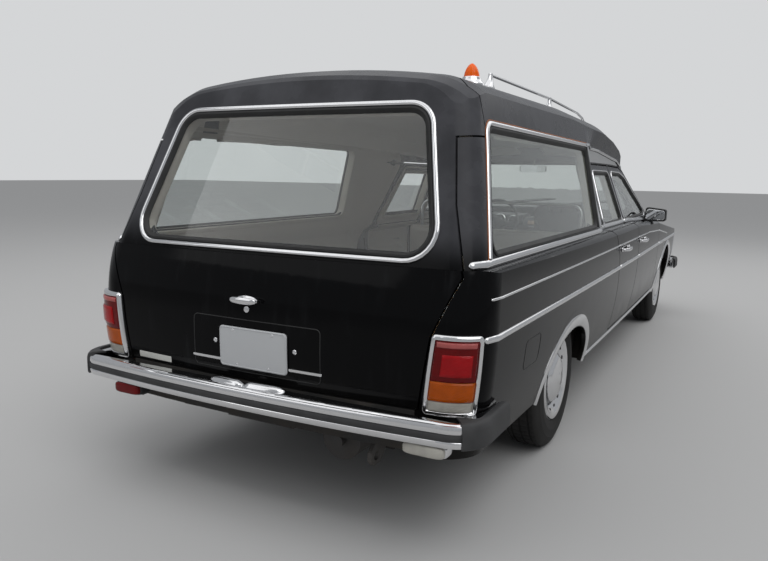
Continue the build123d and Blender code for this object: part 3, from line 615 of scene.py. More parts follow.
def window_glass(name, colour):
    glass = Finish(name, colour, 0.0, IOR=1.45, Transmission_Weight=1.0)
    glass.tint(glass.use(PATCHES, Scale=3.0, Softness=0.4), shade(colour, 0.93), 0.6)
    glass.clear_for_lamps(shade(colour, 0.9))
    return glass.material


def lamp_lens(name, colour, through=0.3, stain=0.5):
    """Coloured lens: fine slanting flutes behind a smooth face."""
    lens = Finish(name, colour, 0.12, IOR=1.30, Transmission_Weight=through)
    place = {"Vector": object_position(lens.tree)}
    wave = node(lens.tree, "ShaderNodeTexWave", place, Scale=75.0, Distortion=0.0, bands_direction="DIAGONAL")
    lens.bump(wave.outputs["Fac"], 0.35, 0.0008)
    lens.tint(lens.use(PATCHES, Scale=30.0, Softness=0.3), shade(colour, 0.55), stain)
    return lens.material


def cloth(name, colour, thread=900.0):
    """Woven cover: two crossed waves for the threads, with soft shade from wear."""
    woven = Finish(name, colour, 0.85, Sheen_Weight=0.3, Sheen_Roughness=0.4)
    waves = []
    for way in ("X", "Y"):
        place = {"Vector": object_position(woven.tree)}
        wave = node(woven.tree, "ShaderNodeTexWave", place, Scale=thread / 6, Distortion=0.4,
                    bands_direction=way)
        waves.append(wave.outputs["Fac"])
    weave = math_node(woven.tree, "MAXIMUM", *waves)
    woven.tint(weave, shade(colour, 0.72), 0.6)
    woven.tint(woven.use(PATCHES, Scale=7.0, Softness=0.3), shade(colour, 0.8), 0.5)
    woven.bump(weave, 0.4, 0.0006)
    return woven.material


def wood_boards():
    """Varnished floor boards, their grain stretched along X."""
    wood = Finish("varnished_boards", (0.20, 0.105, 0.048), 0.34, Coat_Weight=0.4, Coat_Roughness=0.2)
    place = object_position(wood.tree, (1.2, 22, 22))
    grain = noise(wood.tree, place=place, Scale=2.2, Detail=8.0, Distortion=1.2)
    wood.tint(ramp(wood.tree, grain, 0.38, 0.66), (0.10, 0.045, 0.018), 0.8)
    wood.bump(grain, 0.15, 0.0006)
    return wood.material


def painted(name, colour, roughness, dirt=0.4, metallic=0.0):
    """Painted or bare metal with road dirt."""
    metal = Finish(name, colour, roughness, metallic)
    dust = metal.use(PATCHES, Scale=6.0, Softness=0.22)
    metal.tint(dust, (0.085, 0.070, 0.055), dirt)
    metal.vary(dust, 0.25)
    metal.bump(metal.use(GRAIN, Scale=260.0), 0.2, 0.0008)
    return metal.material


PAINT = gloss_black()
CHROME = bright_chrome()
STEEL = satin_steel()
GASKET = weathered_rubber("window_rubber", (0.012, 0.012, 0.012), 0.5)
BUMPER_RUBBER = weathered_rubber("bumper_rubber", (0.030, 0.030, 0.031), 0.58)
TYRE = weathered_rubber("tyre_rubber", (0.011, 0.0105, 0.010), 0.78)
EDGE_LINE = weathered_rubber("brown_sealer", (0.30, 0.10, 0.035), 0.6)
BLACK_PLASTIC = plain_plastic("black_plastic", (0.014, 0.014, 0.015))
PALE_PLASTIC = plain_plastic("pale_plastic", (0.62, 0.62, 0.58), 0.5)
TRIM = plain_plastic("pale_trim", (0.50, 0.465, 0.41), 0.55, 700.0)
DIAL = plain_plastic("dial_black", (0.010, 0.010, 0.011), 0.30, 200.0)
REAR_GLASS = window_glass("tinted_rear_glass", (0.91, 0.93, 0.93))
SIDE_GLASS = window_glass("side_glass", (0.84, 0.88, 0.86))
CLEAR_GLASS = window_glass("clear_lamp_glass", (0.93, 0.94, 0.94))
RED_LENS = lamp_lens("red_lens", (0.19, 0.002, 0.003))
RED_REFLECTOR = lamp_lens("red_reflector", (0.50, 0.008, 0.012))
PALE_RED = lamp_lens("pale_red_lens", (0.62, 0.16, 0.15))
AMBER_LENS = lamp_lens("amber_lens", (0.62, 0.115, 0.004))
AMBER_DOME = lamp_lens("amber_dome", (0.95, 0.135, 0.005), 0.0, 0.15)
CLEAR_LENS = lamp_lens("clear_lens", (0.62, 0.60, 0.54))
LINING = cloth("pale_lining", (0.72, 0.685, 0.62))
SEAT_CLOTH = cloth("seat_cover", (0.060, 0.058, 0.058))
CARPET = cloth("dark_carpet", (0.035, 0.033, 0.032), 500.0)
BOARDS = wood_boards()
UNDERSEAL = painted("underseal", (0.018, 0.018, 0.018), 0.8, 0.35)
RUNNING_GEAR = painted("running_gear_iron", (0.045, 0.043, 0.042), 0.6, 0.5)
WHEEL_PAINT = painted("silver_wheel_paint", (0.42, 0.43, 0.44), 0.38, 0.25, 0.4)
SATIN_BLACK = painted("wiper_black", (0.012, 0.012, 0.012), 0.35, 0.15)
WHITE_PLATE = Finish("white_plate", (0.50, 0.51, 0.52), 0.42).material
MIRROR = Finish("mirror_silver", (0.86, 0.87, 0.88), 0.02, 1.0).material


def both(*names):
    return [f"{name}_{word}" for name in names for word in SIDES]


# The finish of every solid that keeps its own mesh, and of those that a piece of this script stands for
for finish, names in (
    (PAINT, both("side", "door_front", "door_rear", "fender")),
    (PAINT, ["roof", "tailgate", "hood", "front_panel", "cowl"]),
    (UNDERSEAL, ["floor_pan"]),
    (REAR_GLASS, ["tailgate_glass"]),
    (SIDE_GLASS, ["windscreen", "load_windows", *both("glass_front", "glass_rear")]),
    (CHROME, ["rear_bumper", "front_bumper", "grille", "roof_rails"]),
    (BUMPER_RUBBER, ["rear_bumper_strip", "front_bumper_strip"]),
    (RED_LENS, ["tail_lamps"]),
    (CLEAR_LENS, ["headlamps"]),
    (TRIM, ["bulkhead"]),
    (AMBER_DOME, ["amber_lamps"]),
    (BLACK_PLASTIC, [*both("mirror"), "dashboard", "steering_wheel"]),
    (SEAT_CLOTH, ["seats"]),
    (BOARDS, ["load_deck"]),
    (RUNNING_GEAR, ["engine", "front_axle", "rear_axle", "underbody", "tow_eyes", *both("knuckle")]),
    (TYRE, both("tyre_front", "tyre_rear")),
    (WHEEL_PAINT, both("rim_front", "rim_rear")),
):
    for name in names:
        NODES[name].data.materials.clear()
        NODES[name].data.materials.append(finish)


# Trims along the panels
PANE_DEPTH, PANE_THICK = 0.008, 0.006


def flush_pane(name, lower, upper, surface, inward, material, body="body", **extra):
    """Glass that follows the panel, close under it: a grid between the lower and the upper line of its
    outline."""
    (xa, za), (xb, zb) = lower
    u, v = np.linspace(0, 1, 41)[:, None], np.linspace(0, 1, 19)
    line_x, line_z = np.transpose(upper)
    high_x = line_x[0] + (line_x[-1] - line_x[0]) * u
    across = (xa + (xb - xa) * u) * (1 - v) + high_x * v
    height = (za + (zb - za) * u) * (1 - v) + np.interp(high_x, line_x, line_z) * v
    face, inward = surface(across, height), np.array(inward)
    back = face + (PANE_DEPTH + PANE_THICK) * inward
    shell(name, face + PANE_DEPTH * inward, back, material, body, slot="window_glass", **extra)


def window_frame(name, outline, radius, surface, width, height, offset, body="body"):
    """A domed strip round a window: the glass outline moved outward, its corners rounded."""
    path = dense(rounded(grown(outline, offset), radius + offset))
    bead(name, surface, path, half_round(width, height), CHROME, body)


def window_gasket(name, outline, radius, surface, body="body", depth=PANE_DEPTH):
    """Rubber between panel edge and glass: a lip over the panel, a slope down to the glass."""
    lip = [
        (0.008, -0.001), (0.007, 0.004), (0.0, 0.005), (-0.004, 0.002),
        (-0.011, -0.5 * depth), (-0.014, -depth - 0.001), (-0.004, -depth - 0.008), (0.001, -0.006),
    ]
    bead(name, surface, dense(rounded(outline, radius)), lip, GASKET, body)


def side_strip(name, side, body, x0, x1, height_at, width, height, upper=False):
    """A domed bright strip along the body side, at a height given by a function of the station. Its
    ends taper."""
    taper = 0.012
    steps = max(4, int((x1 - x0) / 0.05))
    tips = taper * np.array([0, 0.04, 0.15, 0.35, 0.65])
    x = np.concatenate([x0 + tips, np.linspace(x0 + taper, x1 - taper, steps), x1 - tips[::-1]])
    path = np.stack([x, height_at(x)], -1)
    p, t, n = surface_frames(on_side(side, upper), path, toward=(0, side, 0))
    end = np.minimum(np.minimum(x - x0, x1 - x) / taper, 1)
    scale = np.sqrt(np.clip(1 - (1 - end) ** 2, 0.03, 1))[:, None, None]
    profile = half_round(width, height)
    rise = profile[:, 1:] * np.where(profile[:, 1:] > 0, scale, 1)
    points = p[:, None] + np.cross(n, t)[:, None] * profile[:, :1] * scale + n[:, None] * rise
    solid_grid(name, points, CHROME, body)


def split_by_doors(x0, x1, rear_shift):
    """The stretches of a long strip with the body that each rides on; the rear door's edge leans by
    rear_shift."""
    rear_a, rear_b = REAR_DOOR_X[0] + rear_shift, REAR_DOOR_X[1]
    front_a, front_b = FRONT_DOOR_X
    return [("body", x0, rear_a - 0.016), ("door_rear", rear_a, rear_b),
            ("door_front", front_a, front_b), ("body", front_b + 0.022, x1)]


def belt_z(x):
    return shoulder_z(x) + 0.013


def crease_z(x):
    return np.minimum(0.875, shoulder_z(x) - 0.074)


def moulding_z(x):
    return 0.747 - 0.010 * np.clip((x - 4.0) / 1.3, 0, 1)


def body_mouldings():
    """Belt rail, thin crease strip, main moulding and sill strip, each cut where the doors part."""
    rows = (
        ("belt_rail", 0.105, 3.985, belt_z, 0.030, 0.009, True, -0.128),
        ("crease_strip", 0.125, 4.560, crease_z, 0.010, 0.005, False, -0.060),
        ("main_moulding", 0.092, 5.235, moulding_z, 0.024, 0.010, False, -0.012),
    )
    for name, x0, x1, height_at, width, height, upper, shift in rows:
        for word, side in SIDES.items():
            stretches = [s for s in split_by_doors(x0, x1, shift) if s[2] - s[1] > 0.03]
            for k, (rides, a, b) in enumerate(stretches):
                body = rides if rides == "body" else f"{rides}_{word}"
                side_strip(f"{name}_{word}_{k}", side, body, a, b, height_at, width, height, upper)
    for word, side in SIDES.items():
        side_strip(f"sill_strip_{word}", side, "body", 1.680, 4.205, lambda x: 0.345 + 0 * x, 0.022, 0.008)


def arch_path(axle, drop, reach):
    """Station and height of an ellipse about the axle, from the sill in front of the wheel to the sill
    behind it."""
    a, b = ARCHES[axle]
    a, b = a + reach, b - drop + reach
    low = math.asin((AXLE_Z - 0.338) / b)
    t = np.linspace(low, math.pi - low, 72)
    return np.stack([AXLES[axle] + a * np.cos(t), AXLE_Z + b * np.sin(t)], -1)


def arch_band(axle, side, drop, reaches, lifts):
    """Points between ellipses that grow by the given reaches, each lifted off the body side by its own
    height."""
    rows = []
    for reach, lift in zip(reaches, lifts):
        p, _, n = surface_frames(on_side(side, False), arch_path(axle, drop, reach), toward=(0, side, 0))
        rows.append(p + n * lift)
    return np.stack(rows, 1)


def rear_arch_lips():
    """Painted skin that carries the body side down over the tyre: from above the panel's edge to a
    lower ellipse."""
    for word, side in SIDES.items():
        outer = arch_band("rear", side, 0, (0.014, 0.004), (0.0001, 0.0006))
        inner = arch_band("rear", side, REAR_ARCH_DROP, (0.020, -0.002), (0.0004, 0.0002))
        turned = arch_band("rear", side, REAR_ARCH_DROP, (-0.003, -0.003), (-0.003, -0.020))
        front = np.concatenate([outer, inner, turned], 1)
        back = front - [0, side * 0.0016, 0]
        back[:, -2:] = front[:, -2:] + (outer[:, :1] - inner[:, 1:]) * 0.02 - [0, side * 0.0008, 0]
        shell(f"rear_arch_lip_{word}", front, back, PAINT)


def arch_trims():
    """Bright strip round each wheel arch: widest over the wheel, its width falling with the sine
    towards the sill."""
    profile = np.array([
        (0, -0.012), (0, 0.001), (0.03, 0.0035), (0.15, 0.0065), (0.40, 0.0090),
        (0.65, 0.0085), (0.85, 0.0060), (1.0, 0.0015), (1.0, -0.002),
    ])
    narrow, reach = 0.020, 0.01
    for axle, drop, wide in (("rear", REAR_ARCH_DROP, 0.058), ("front", 0, 0.044)):
        height = arch_path(axle, drop, 0)[:, 1]
        share = (height - height.min()) / (height.max() - height.min())
        width = narrow + (wide - narrow) * share**0.7
        for word, side in SIDES.items():
            rows = []
            for across, lift in profile:
                a, b = np.moveaxis(arch_band(axle, side, drop, (0.0, reach), (lift, lift)), 1, 0)
                rows.append(a + (b - a) * (width * across / reach)[:, None])
            solid_grid(f"arch_trim_{axle}_{word}", np.stack(rows, 1), CHROME)


def gate_window():
    """Frame, rubber and pane of the tailgate."""
    window_frame("gate_window_frame", GATE_GLASS, GATE_GLASS_R, tail_point, 0.021, 0.010, 0.019, "tailgate")
    window_gasket("gate_window_rubber", GATE_GLASS, GATE_GLASS_R, tail_point, "tailgate")
    (y_low, z_low), (y_high, z_high) = GATE_GLASS[:2]
    low, high = [(-y_low, z_low), (y_low, z_low)], [(-y_high, z_high), (y_high, z_high)]
    flush_pane("gate_pane", low, high, tail_point, (1, 0, 0), REAR_GLASS, "tailgate",
               replaced=("tailgate_glass",))


def load_window(word, side):
    """Rubber, pane, bright frame with its brown sealer, and the black post ahead of the load window."""
    surface = on_side(side, True)
    window_gasket(f"load_window_rubber_{word}", LOAD_GLASS, LOAD_GLASS_R, surface)
    extra = {"replaced": ("load_windows",)} if side > 0 else {}
    low, high = LOAD_GLASS[:2], LOAD_GLASS[:1:-1]
    flush_pane(f"load_pane_{word}", low, high, surface, (0, -side, 0), SIDE_GLASS, **extra)
    for label, offset, width, height, material in (
        ("frame", 0.0185, 0.021, 0.009, CHROME), ("edge", 0.0305, 0.004, 0.003, EDGE_LINE),
    ):
        corners = grown(LOAD_GLASS, offset)
        arc = rounded(corners, LOAD_GLASS_R + offset).reshape(4, 9, 2)[3]
        path = np.concatenate([corners[2:3], arc, corners[:1] + [0.004, 0.010]])
        name = f"load_window_{label}_{word}"
        bead(name, surface, dense(path, closed=False), half_round(width, height), material, closed=False)
    x, z = grid((1.884, 1.909, 4), (1.000, 1.424, 18))
    thin_skin(f"load_window_post_{word}", surface(x, z), GASKET, 0.004, side)


def door_window(part, word, side):
    """Rubber, pane and frame of a side door; the front pane's pointed corner is cut off just before
    its tip."""
    surface, body, outline = on_side(side, True), f"door_{part}_{word}", DOOR_GLASSES[part]
    window_gasket(f"{body}_rubber", outline, DOOR_GLASS_R, surface, body)
    low, high = outline[:2], outline[:1:-1]
    if part == "front":
        low, high = [outline[0], (3.850, 0.985)], high + [(3.850, 0.993)]
    replaced = (f"glass_{part}_{word}",)
    flush_pane(f"{body}_pane", low, high, surface, (0, -side, 0), SIDE_GLASS, body, replaced=replaced)
    window_frame(f"{body}_frame", outline, DOOR_GLASS_R, surface, 0.011, 0.006, 0.013, body)


def thin_skin(name, sheet, material, out, side):
    """A sheet lying on the body side: its face moved out, its rim turned back to the panel."""
    n = unit(np.cross(np.gradient(sheet, axis=0), np.gradient(sheet, axis=1)))
    n = n * np.sign(np.sum(n[:, :, 1]) * side)
    face, foot = (np.pad(sheet + n * lift, ((1, 1), (1, 1), (0, 0)), mode="edge") for lift in (out, -0.002))
    face[0], face[-1], face[:, 0], face[:, -1] = foot[0], foot[-1], foot[:, 0], foot[:, -1]
    put_mesh(name, face, grid_faces(*face.shape[:2]).tolist(), material)


def post_and_fascia(word, side):
    """Steel sheets: the post behind the doors and the strip between door tops and drip rail."""
    surface, rear_x, lift = on_side(side, True), 1.912, 0.0025
    low_z, high_z = 0.998, 1.352
    u, v = grid((0, 1, 14), (0, 1, 18))
    z = low_z + (high_z - low_z) * v
    x = rear_x + (np.interp(z, [low_z, high_z], [2.236, 2.366]) - rear_x) * u
    thin_skin(f"post_sheet_{word}", surface(x, z), STEEL, lift, side)
    x, v = grid((rear_x, 3.420, 60), (0, 1, 6))
    low = np.interp(x, [rear_x, 2.95, 3.310, 3.420], [1.354, 1.350, 1.342, 1.318])
    thin_skin(f"fascia_{word}", surface(x, low + (drip_z(x) - 0.010 - low) * v), STEEL, lift, side)


def drip_rail(word, side):
    """Gutter along the roof joint: an L that stands off the side, open upward, its rear end let down a
    little."""
    x = np.linspace(1.868, 3.46, 60)
    start = np.clip((x - x[0]) / 0.14, 0, 1)
    path = np.stack([x, drip_z(x) - 0.008 * (1 - start) ** 2], -1)
    profile = np.array([
        (-0.008, -0.002), (-0.008, 0.008), (-0.004, 0.012), (0.006, 0.012), (0.007, 0.009),
        (-0.003, 0.008), (-0.004, 0.002), (0.006, 0.001), (0.008, -0.002),
    ])
    bead(f"drip_rail_{word}", on_side(side, True), path, profile * [side, 1], CHROME, closed=False)


# Tailgate fittings
PLATE_HALF, PLATE_LOW, PLATE_HIGH = 0.1525, 0.551, 0.703


def gate_pad(name, outline, radius, height, material, dome=0.0, base=0.0):
    """A flat or domed plate on the rear face: rings of its outline drawn in toward the middle."""
    edge = dense(rounded(outline, radius, 6), 0.012)
    centre = edge.mean(0)
    rows = [
        (1.0, -0.002), (1.0, height * 0.55), (0.985, height * 0.9), (0.95, height),
        (0.8, height + dome * 0.36), (0.55, height + dome * 0.7), (0.3, height + dome * 0.91), (0.1, height + dome),
    ]
    rings = []
    for share, lift in rows:
        p, _, n = surface_frames(tail_point, centre + (edge - centre) * share, True, (-1, 0, 0))
        rings.append(p + n * (lift + base))
    solid_grid(name, np.array(rings), material, "tailgate", sharp=40)


def plate_and_strips():
    """Blank number plate, its screws, the small strips and a plain label."""
    edges = (-PLATE_HALF, PLATE_HALF, PLATE_LOW, PLATE_HIGH)
    gate_pad("number_plate", box(*edges), 0.014, 0.003, WHITE_PLATE, base=0.006)
    rim = rounded(grown(box(*edges), -0.004), 0.011)
    bead("number_plate_rim", lambda y, z: tail_point(y, z) - [0.009, 0, 0], dense(rim, 0.02),
         half_round(0.004, 0.0016), WHITE_PLATE, "tailgate")
    for k, way in enumerate((-1, 1)):
        screw(f"plate_screw_{k}", way * 0.090, 0.690, 0.009, 0.0055)
        screw(f"plate_screw_low_{k}", way * 0.072, 0.563, 0.009, 0.0045)
    for k, way in enumerate((-1, 1)):
        screw(f"panel_screw_{k}", way * 0.181, 0.640, 0.0, 0.009)
    for k, y in enumerate((-0.225, 0.225)):
        gate_pad(f"gate_strip_{k}", box(y - 0.070, y + 0.070, 0.567, 0.577), 0.004, 0.004, CHROME)
    gate_pad("plain_label", box(0.422, 0.606, 0.514, 0.538), 0.003, 0.0012, PALE_PLASTIC)
    joint = dense(rounded(box(-0.287, 0.287, 0.535, 0.732), 0.018))
    bead("plate_panel_joint", tail_point, joint, half_round(0.004, 0.0015), GASKET, "tailgate")


def screw(name, y, z, base, radius):
    """A domed screw head with a cross slot pressed in: a disc of rings whose height falls in two
    crossed bands."""
    r, a = np.meshgrid(radius * np.linspace(1, 0.05, 7), lap(24), indexing="ij")
    dy, dz = r * np.cos(a), r * np.sin(a)
    slot = (np.minimum(np.abs(dy), np.abs(dz)) < 0.12 * radius) & (r < 0.6 * radius)
    rise = 0.35 * radius * np.sqrt(1 - (r / radius) ** 2) - 0.18 * radius * slot
    points = tail_point(y + dy, z + dz) - xyz(base + rise, 0, 0)
    faces = grid_faces(*r.shape, False, True).tolist() + [list(range(r.size - r.shape[1], r.size))]
    put_mesh(name, points, faces, CHROME, "tailgate", sharp=30, turn=False)


def gate_handle():
    """T handle: an oval foot, a neck and a grip whose section swells to the middle, over a round lock."""
    y0, z0 = 0.030, 0.806
    gate_pad("gate_handle_foot", oval(y0, z0, 0.050, 0.016, 16), 0.004, 0.006, CHROME, dome=0.006)
    face_x = tail_point(y0, z0)[0]
    u, a = np.linspace(-1, 1, 33)[:, None], lap(20)
    thick = (0.006 + 0.0045 * np.sqrt(1 - u**2)) * np.sqrt(np.clip(1 - np.abs(u) ** 10, 0.01, 1))
    x = face_x - 0.034 + 0.006 * u**2 + thick * 0.8 * np.cos(a)
    grip = xyz(x, y0 + 0.060 * u, z0 + 0.002 + thick * 1.25 * np.sin(a))
    solid_grid("gate_handle_grip", grip, CHROME, "tailgate")
    w = np.linspace(0, 1, 8)[:, None]
    r = 0.011 - 0.004 * np.sin(math.pi * w)
    neck = xyz(face_x + 0.002 - 0.032 * w, y0 + 1.4 * r * np.cos(a), z0 + r * np.sin(a))
    solid_grid("gate_handle_neck", neck, CHROME, "tailgate")
    gate_pad("gate_lock", oval(y0, z0 - 0.034, 0.012, 0.012, 24), 0.002, 0.004, CHROME, dome=0.001)


# Tail lamps
LAMP_Z = (0.508, 0.755)
LAMP_TURN, CHEEK_TURN = 50, 62
LAMP_STANDOFF = 0.004


def corner_start(z):
    """Distance along the rear panel at which its corner begins."""
    return level(z, 1) - REAR_DRAW - BODY_CORNER


def lamp_point(u, z, side, lift=0.0):
    """A point of a tail lamp at share u across: its inner edge leans, its outer edge stands above the
    corner."""
    flat = corner_start(z)
    inner = np.interp(z, LAMP_Z, (0.682, 0.712)) + 0.012 * np.clip(0.700 - flat, 0, 1)
    outer = flat + BODY_CORNER * math.radians(LAMP_TURN)
    return around_corner("rear", inner + (outer - inner) * u, z, side, LAMP_STANDOFF + lift)


def tail_lamp(word, side):
    """A chrome frame with a raised rim, a lens in three colours with a square reflector, and a painted
    cheek."""
    z_low, z_high = LAMP_Z
    profile = [
        (0.013, -0.004), (0.013, 0.004), (0.009, 0.010), (0.003, 0.013),
        (-0.004, 0.012), (-0.008, 0.006), (-0.009, -0.004),
    ]
    path = dense(rounded_box(0.0, 1.0, z_low, z_high, 0.02, 0.005), 0.02)
    replaced = ("tail_lamps",) if side > 0 else ()
    bead(f"tail_lamp_frame_{word}", lambda u, z: lamp_point(u, z, side), path, profile, CHROME,
         replaced=replaced, slot="bright_metal")
    for label, z0, z1, u0, u1, lift, material in (
        ("white", 0.512, 0.546, 0.05, 0.95, 0.011, CLEAR_LENS),
        ("amber", 0.548, 0.614, 0.05, 0.95, 0.013, AMBER_LENS),
        ("red", 0.616, 0.750, 0.05, 0.95, 0.013, RED_LENS),
        ("reflector", 0.634, 0.706, 0.24, 0.84, 0.018, RED_REFLECTOR),
        ("top_strip", 0.727, 0.745, 0.08, 0.92, 0.0155, PALE_RED),
    ):
        u, z = grid((u0, u1, 29), (z0, z1, 13))
        rim = np.minimum(np.minimum(u - u0, u1 - u) * 0.20, np.minimum(z - z0, z1 - z))
        drop = 0.004 * np.clip(1 - rim / 0.004, 0, 1) ** 2
        front, back = lamp_point(u, z, side, lift - drop), lamp_point(u, z, side, -0.006)
        shell(f"tail_lamp_{label}_{word}", front, back, material)
    turn, z = grid((LAMP_TURN - 3, CHEEK_TURN, 14), (z_low - 0.006, z_high + 0.006, 16))
    s = corner_start(z) + BODY_CORNER * np.radians(turn)
    front, back = (around_corner("rear", s, z, side, out) for out in (0.0006, -0.0015))
    shell(f"tail_lamp_cheek_{word}", front, back, PAINT)


body_mouldings()
rear_arch_lips()
arch_trims()
gate_window()
for word, side in SIDES.items():
    load_window(word, side)
    for part in DOOR_GLASSES:
        door_window(part, word, side)
    post_and_fascia(word, side)
    drip_rail(word, side)
plate_and_strips()
gate_handle()
for word, side in SIDES.items():
    tail_lamp(word, side)


# Bumpers and what hangs below
BUMPER_FACES = {"rear": (-0.094, 1), "front": (5.468, -1)}


def bumper_path(x_face, sign):
    """Plan line of a bumper: bowed face, quarter-circle corners, straight ends."""
    half, r, bow, reach = 0.886, 0.120, 0.038, 0.30
    y = np.linspace(-(half - r), half - r, 120)
    face = np.stack([x_face + sign * bow * (y / (half - r)) ** 2, y], -1)
    t = np.linspace(0, math.pi / 2, 14)[1:]
    start = x_face + sign * bow
    corner = np.stack([start + sign * r * (1 - np.cos(t)), half - r + r * np.sin(t)], -1)
    end = np.stack([np.linspace(start + sign * r, start + sign * reach, 10)[1:], np.full(9, half)], -1)
    right = np.concatenate([end[::-1], corner[::-1]]) * [1, -1]
    return np.concatenate([right, face, corner, end])


def along_bumper(name, end, profile, material, side=0, **extra):
    """A profile of (out, height) along a bumper, or round one corner only, where what lies on its top
    gets shorter."""
    x_face, sign = BUMPER_FACES[end]
    path = bumper_path(x_face, sign)
    if side:
        path = path[(path[:, 1] * side > 0.826) & (np.abs(path[:, 0] - x_face) > 0.050)]
    t = unit(np.gradient(path, axis=0))
    n = np.stack([-t[:, 1], t[:, 0]], -1)
    n = n * np.sign(np.sum(n * (path - [x_face + sign * 0.6, 0]), 1))[:, None]
    profile = np.array(profile)
    out = profile[:, :1]
    if side:
        share = np.clip(1 - (np.abs(path[:, 0] - x_face) - 0.055) / 0.10, 0.32, 1)
        out = np.where(out < -0.003, out * share[:, None, None], out)
    x, y = np.moveaxis(path[:, None] + n[:, None] * out, -1, 0)
    solid_grid(name, xyz(x, y, profile[:, 1]), material, **extra)


def bumper_dressing():
    """Two bright rolls with a rubber strip between, rubber corner wraps, and the twin-lobed plate lamp
    at the rear."""
    upper = [
        (-0.002, 0.500), (0.0015, 0.4985), (0.0038, 0.494), (0.0052, 0.487),
        (0.0056, 0.480), (0.0048, 0.4740), (0.0025, 0.4715), (-0.002, 0.4715),
    ]
    strip = [
        (-0.002, 0.4710), (0.0042, 0.4710), (0.0057, 0.4685),
        (0.0057, 0.4515), (0.0042, 0.4490), (-0.002, 0.4490),
    ]
    lower = [
        (-0.002, 0.4485), (0.0025, 0.4485), (0.0048, 0.4460), (0.0056, 0.4400),
        (0.0042, 0.4320), (0.0015, 0.4262), (-0.002, 0.4245),
    ]
    wrap = [
        (-0.002, 0.422), (0.007, 0.422), (0.012, 0.427), (0.013, 0.440), (0.013, 0.484), (0.010, 0.500),
        (0.003, 0.508), (-0.012, 0.511), (-0.064, 0.510), (-0.064, 0.504), (-0.014, 0.5035), (-0.004, 0.496),
    ]
    for end in BUMPER_FACES:
        along_bumper(f"{end}_bumper_upper_roll", end, upper, CHROME)
        along_bumper(f"{end}_bumper_lower_roll", end, lower, CHROME)
        along_bumper(f"{end}_bumper_rubber", end, strip, BUMPER_RUBBER,
                     replaced=(f"{end}_bumper_strip",), slot="black_plastic")
        for word, side in SIDES.items():
            along_bumper(f"{end}_corner_wrap_{word}", end, wrap, BUMPER_RUBBER, side)
    u, a = grid((-1, 1, 61), (0, math.pi, 15))
    lobe = (1 - 0.45 * np.exp(-((u / 0.10) ** 2))) * np.sqrt(1 - np.abs(u) ** 6)
    y = 0.172 * u
    x = -0.058 + 0.02 * (y / 0.17) ** 2 - 0.024 * lobe * np.cos(a)
    shell("plate_lamp_cover", xyz(x, y, 0.500 + 0.022 * lobe * np.sin(a)), xyz(x, y, 0.496), CHROME, sharp=50)


def low_lamps():
    """Red fog lamp on the left and clear reversing lamp on the right, on straps under the rear bumper."""
    for name, centre, size, material, power in (
        ("fog_lamp_body", (-0.030, 0.590, 0.402), (0.070, 0.140, 0.050), BLACK_PLASTIC, 5),
        ("fog_lamp_lens", (-0.058, 0.590, 0.402), (0.030, 0.130, 0.042), RED_LENS, 5),
        ("fog_lamp_strap", (-0.020, 0.590, 0.425), (0.030, 0.020, 0.030), BLACK_PLASTIC, 8),
        ("reversing_lamp_body", (-0.010, -0.711, 0.402), (0.074, 0.156, 0.046), CHROME, 5),
        ("reversing_lamp_lens", (-0.042, -0.711, 0.402), (0.032, 0.146, 0.038), CLEAR_LENS, 5),
        ("reversing_lamp_strap", (-0.010, -0.711, 0.426), (0.030, 0.020, 0.026), BLACK_PLASTIC, 8),
    ):
        pod(name, centre, size, material, power)


# Door fittings, fuel flap and mirrors
def door_handle(part, x_mid, word, side):
    """Pull handle: a bar bowed out from two feet, with a push button."""
    body, height = f"door_{part}_{word}", 0.846
    u = np.linspace(-1, 1, 37)[:, None]
    x, z = x_mid + 0.088 * u, height + 0.002 * u
    thick, tall = 0.0055 + 0.0025 * np.abs(u) ** 3, 0.0105 - 0.003 * np.abs(u) ** 3
    y = lower_y(x, z) + 0.006 + 0.030 * (1 - u**4) + thick * np.cos(lap(16))
    solid_grid(f"door_handle_{part}_{word}", xyz(x, side * y, z + tall * np.sin(lap(16))), CHROME, body)
    for k, dx in enumerate((-0.084, 0.084)):
        centre = (x_mid + dx, side * (lower_y(x_mid + dx, height) + 0.003), height)
        pod(f"door_handle_foot_{part}_{word}_{k}", centre, (0.034, 0.014, 0.026), CHROME, 3, body)
    centre = (x_mid + 0.128, side * (lower_y(x_mid + 0.122, height) + 0.004), height)
    pod(f"door_button_{part}_{word}", centre, (0.024, 0.014, 0.024), CHROME, 2.5, body)


def fuel_flap():
    """Joint line of the flap on the right rear wing, a rounded outline of four corners."""
    outline = [(0.485, 0.555), (0.668, 0.555), (0.676, 0.668), (0.485, 0.668)]
    path = dense(rounded(outline, 0.026), 0.02)
    bead("fuel_flap_joint", on_side(-1, False), path, half_round(0.0045, 0.0012), GASKET)


def mirror_glass(word, side):
    """Mirror glass in its housing: a plate whose face is drawn in a little."""
    outline = rounded([(0.802, 0.944), (0.936, 0.948), (0.936, 1.014), (0.808, 1.028)], 0.014, 5) * [side, 1]
    middle = outline.mean(0)
    face = middle + (outline - middle) * [0.97, 0.95]
    rings = [xyz(x, *ring.T) for x, ring in ((3.7345, outline), (3.7325, outline), (3.7315, face))]
    solid_grid(f"mirror_glass_{word}", np.array(rings), MIRROR, f"door_front_{word}")


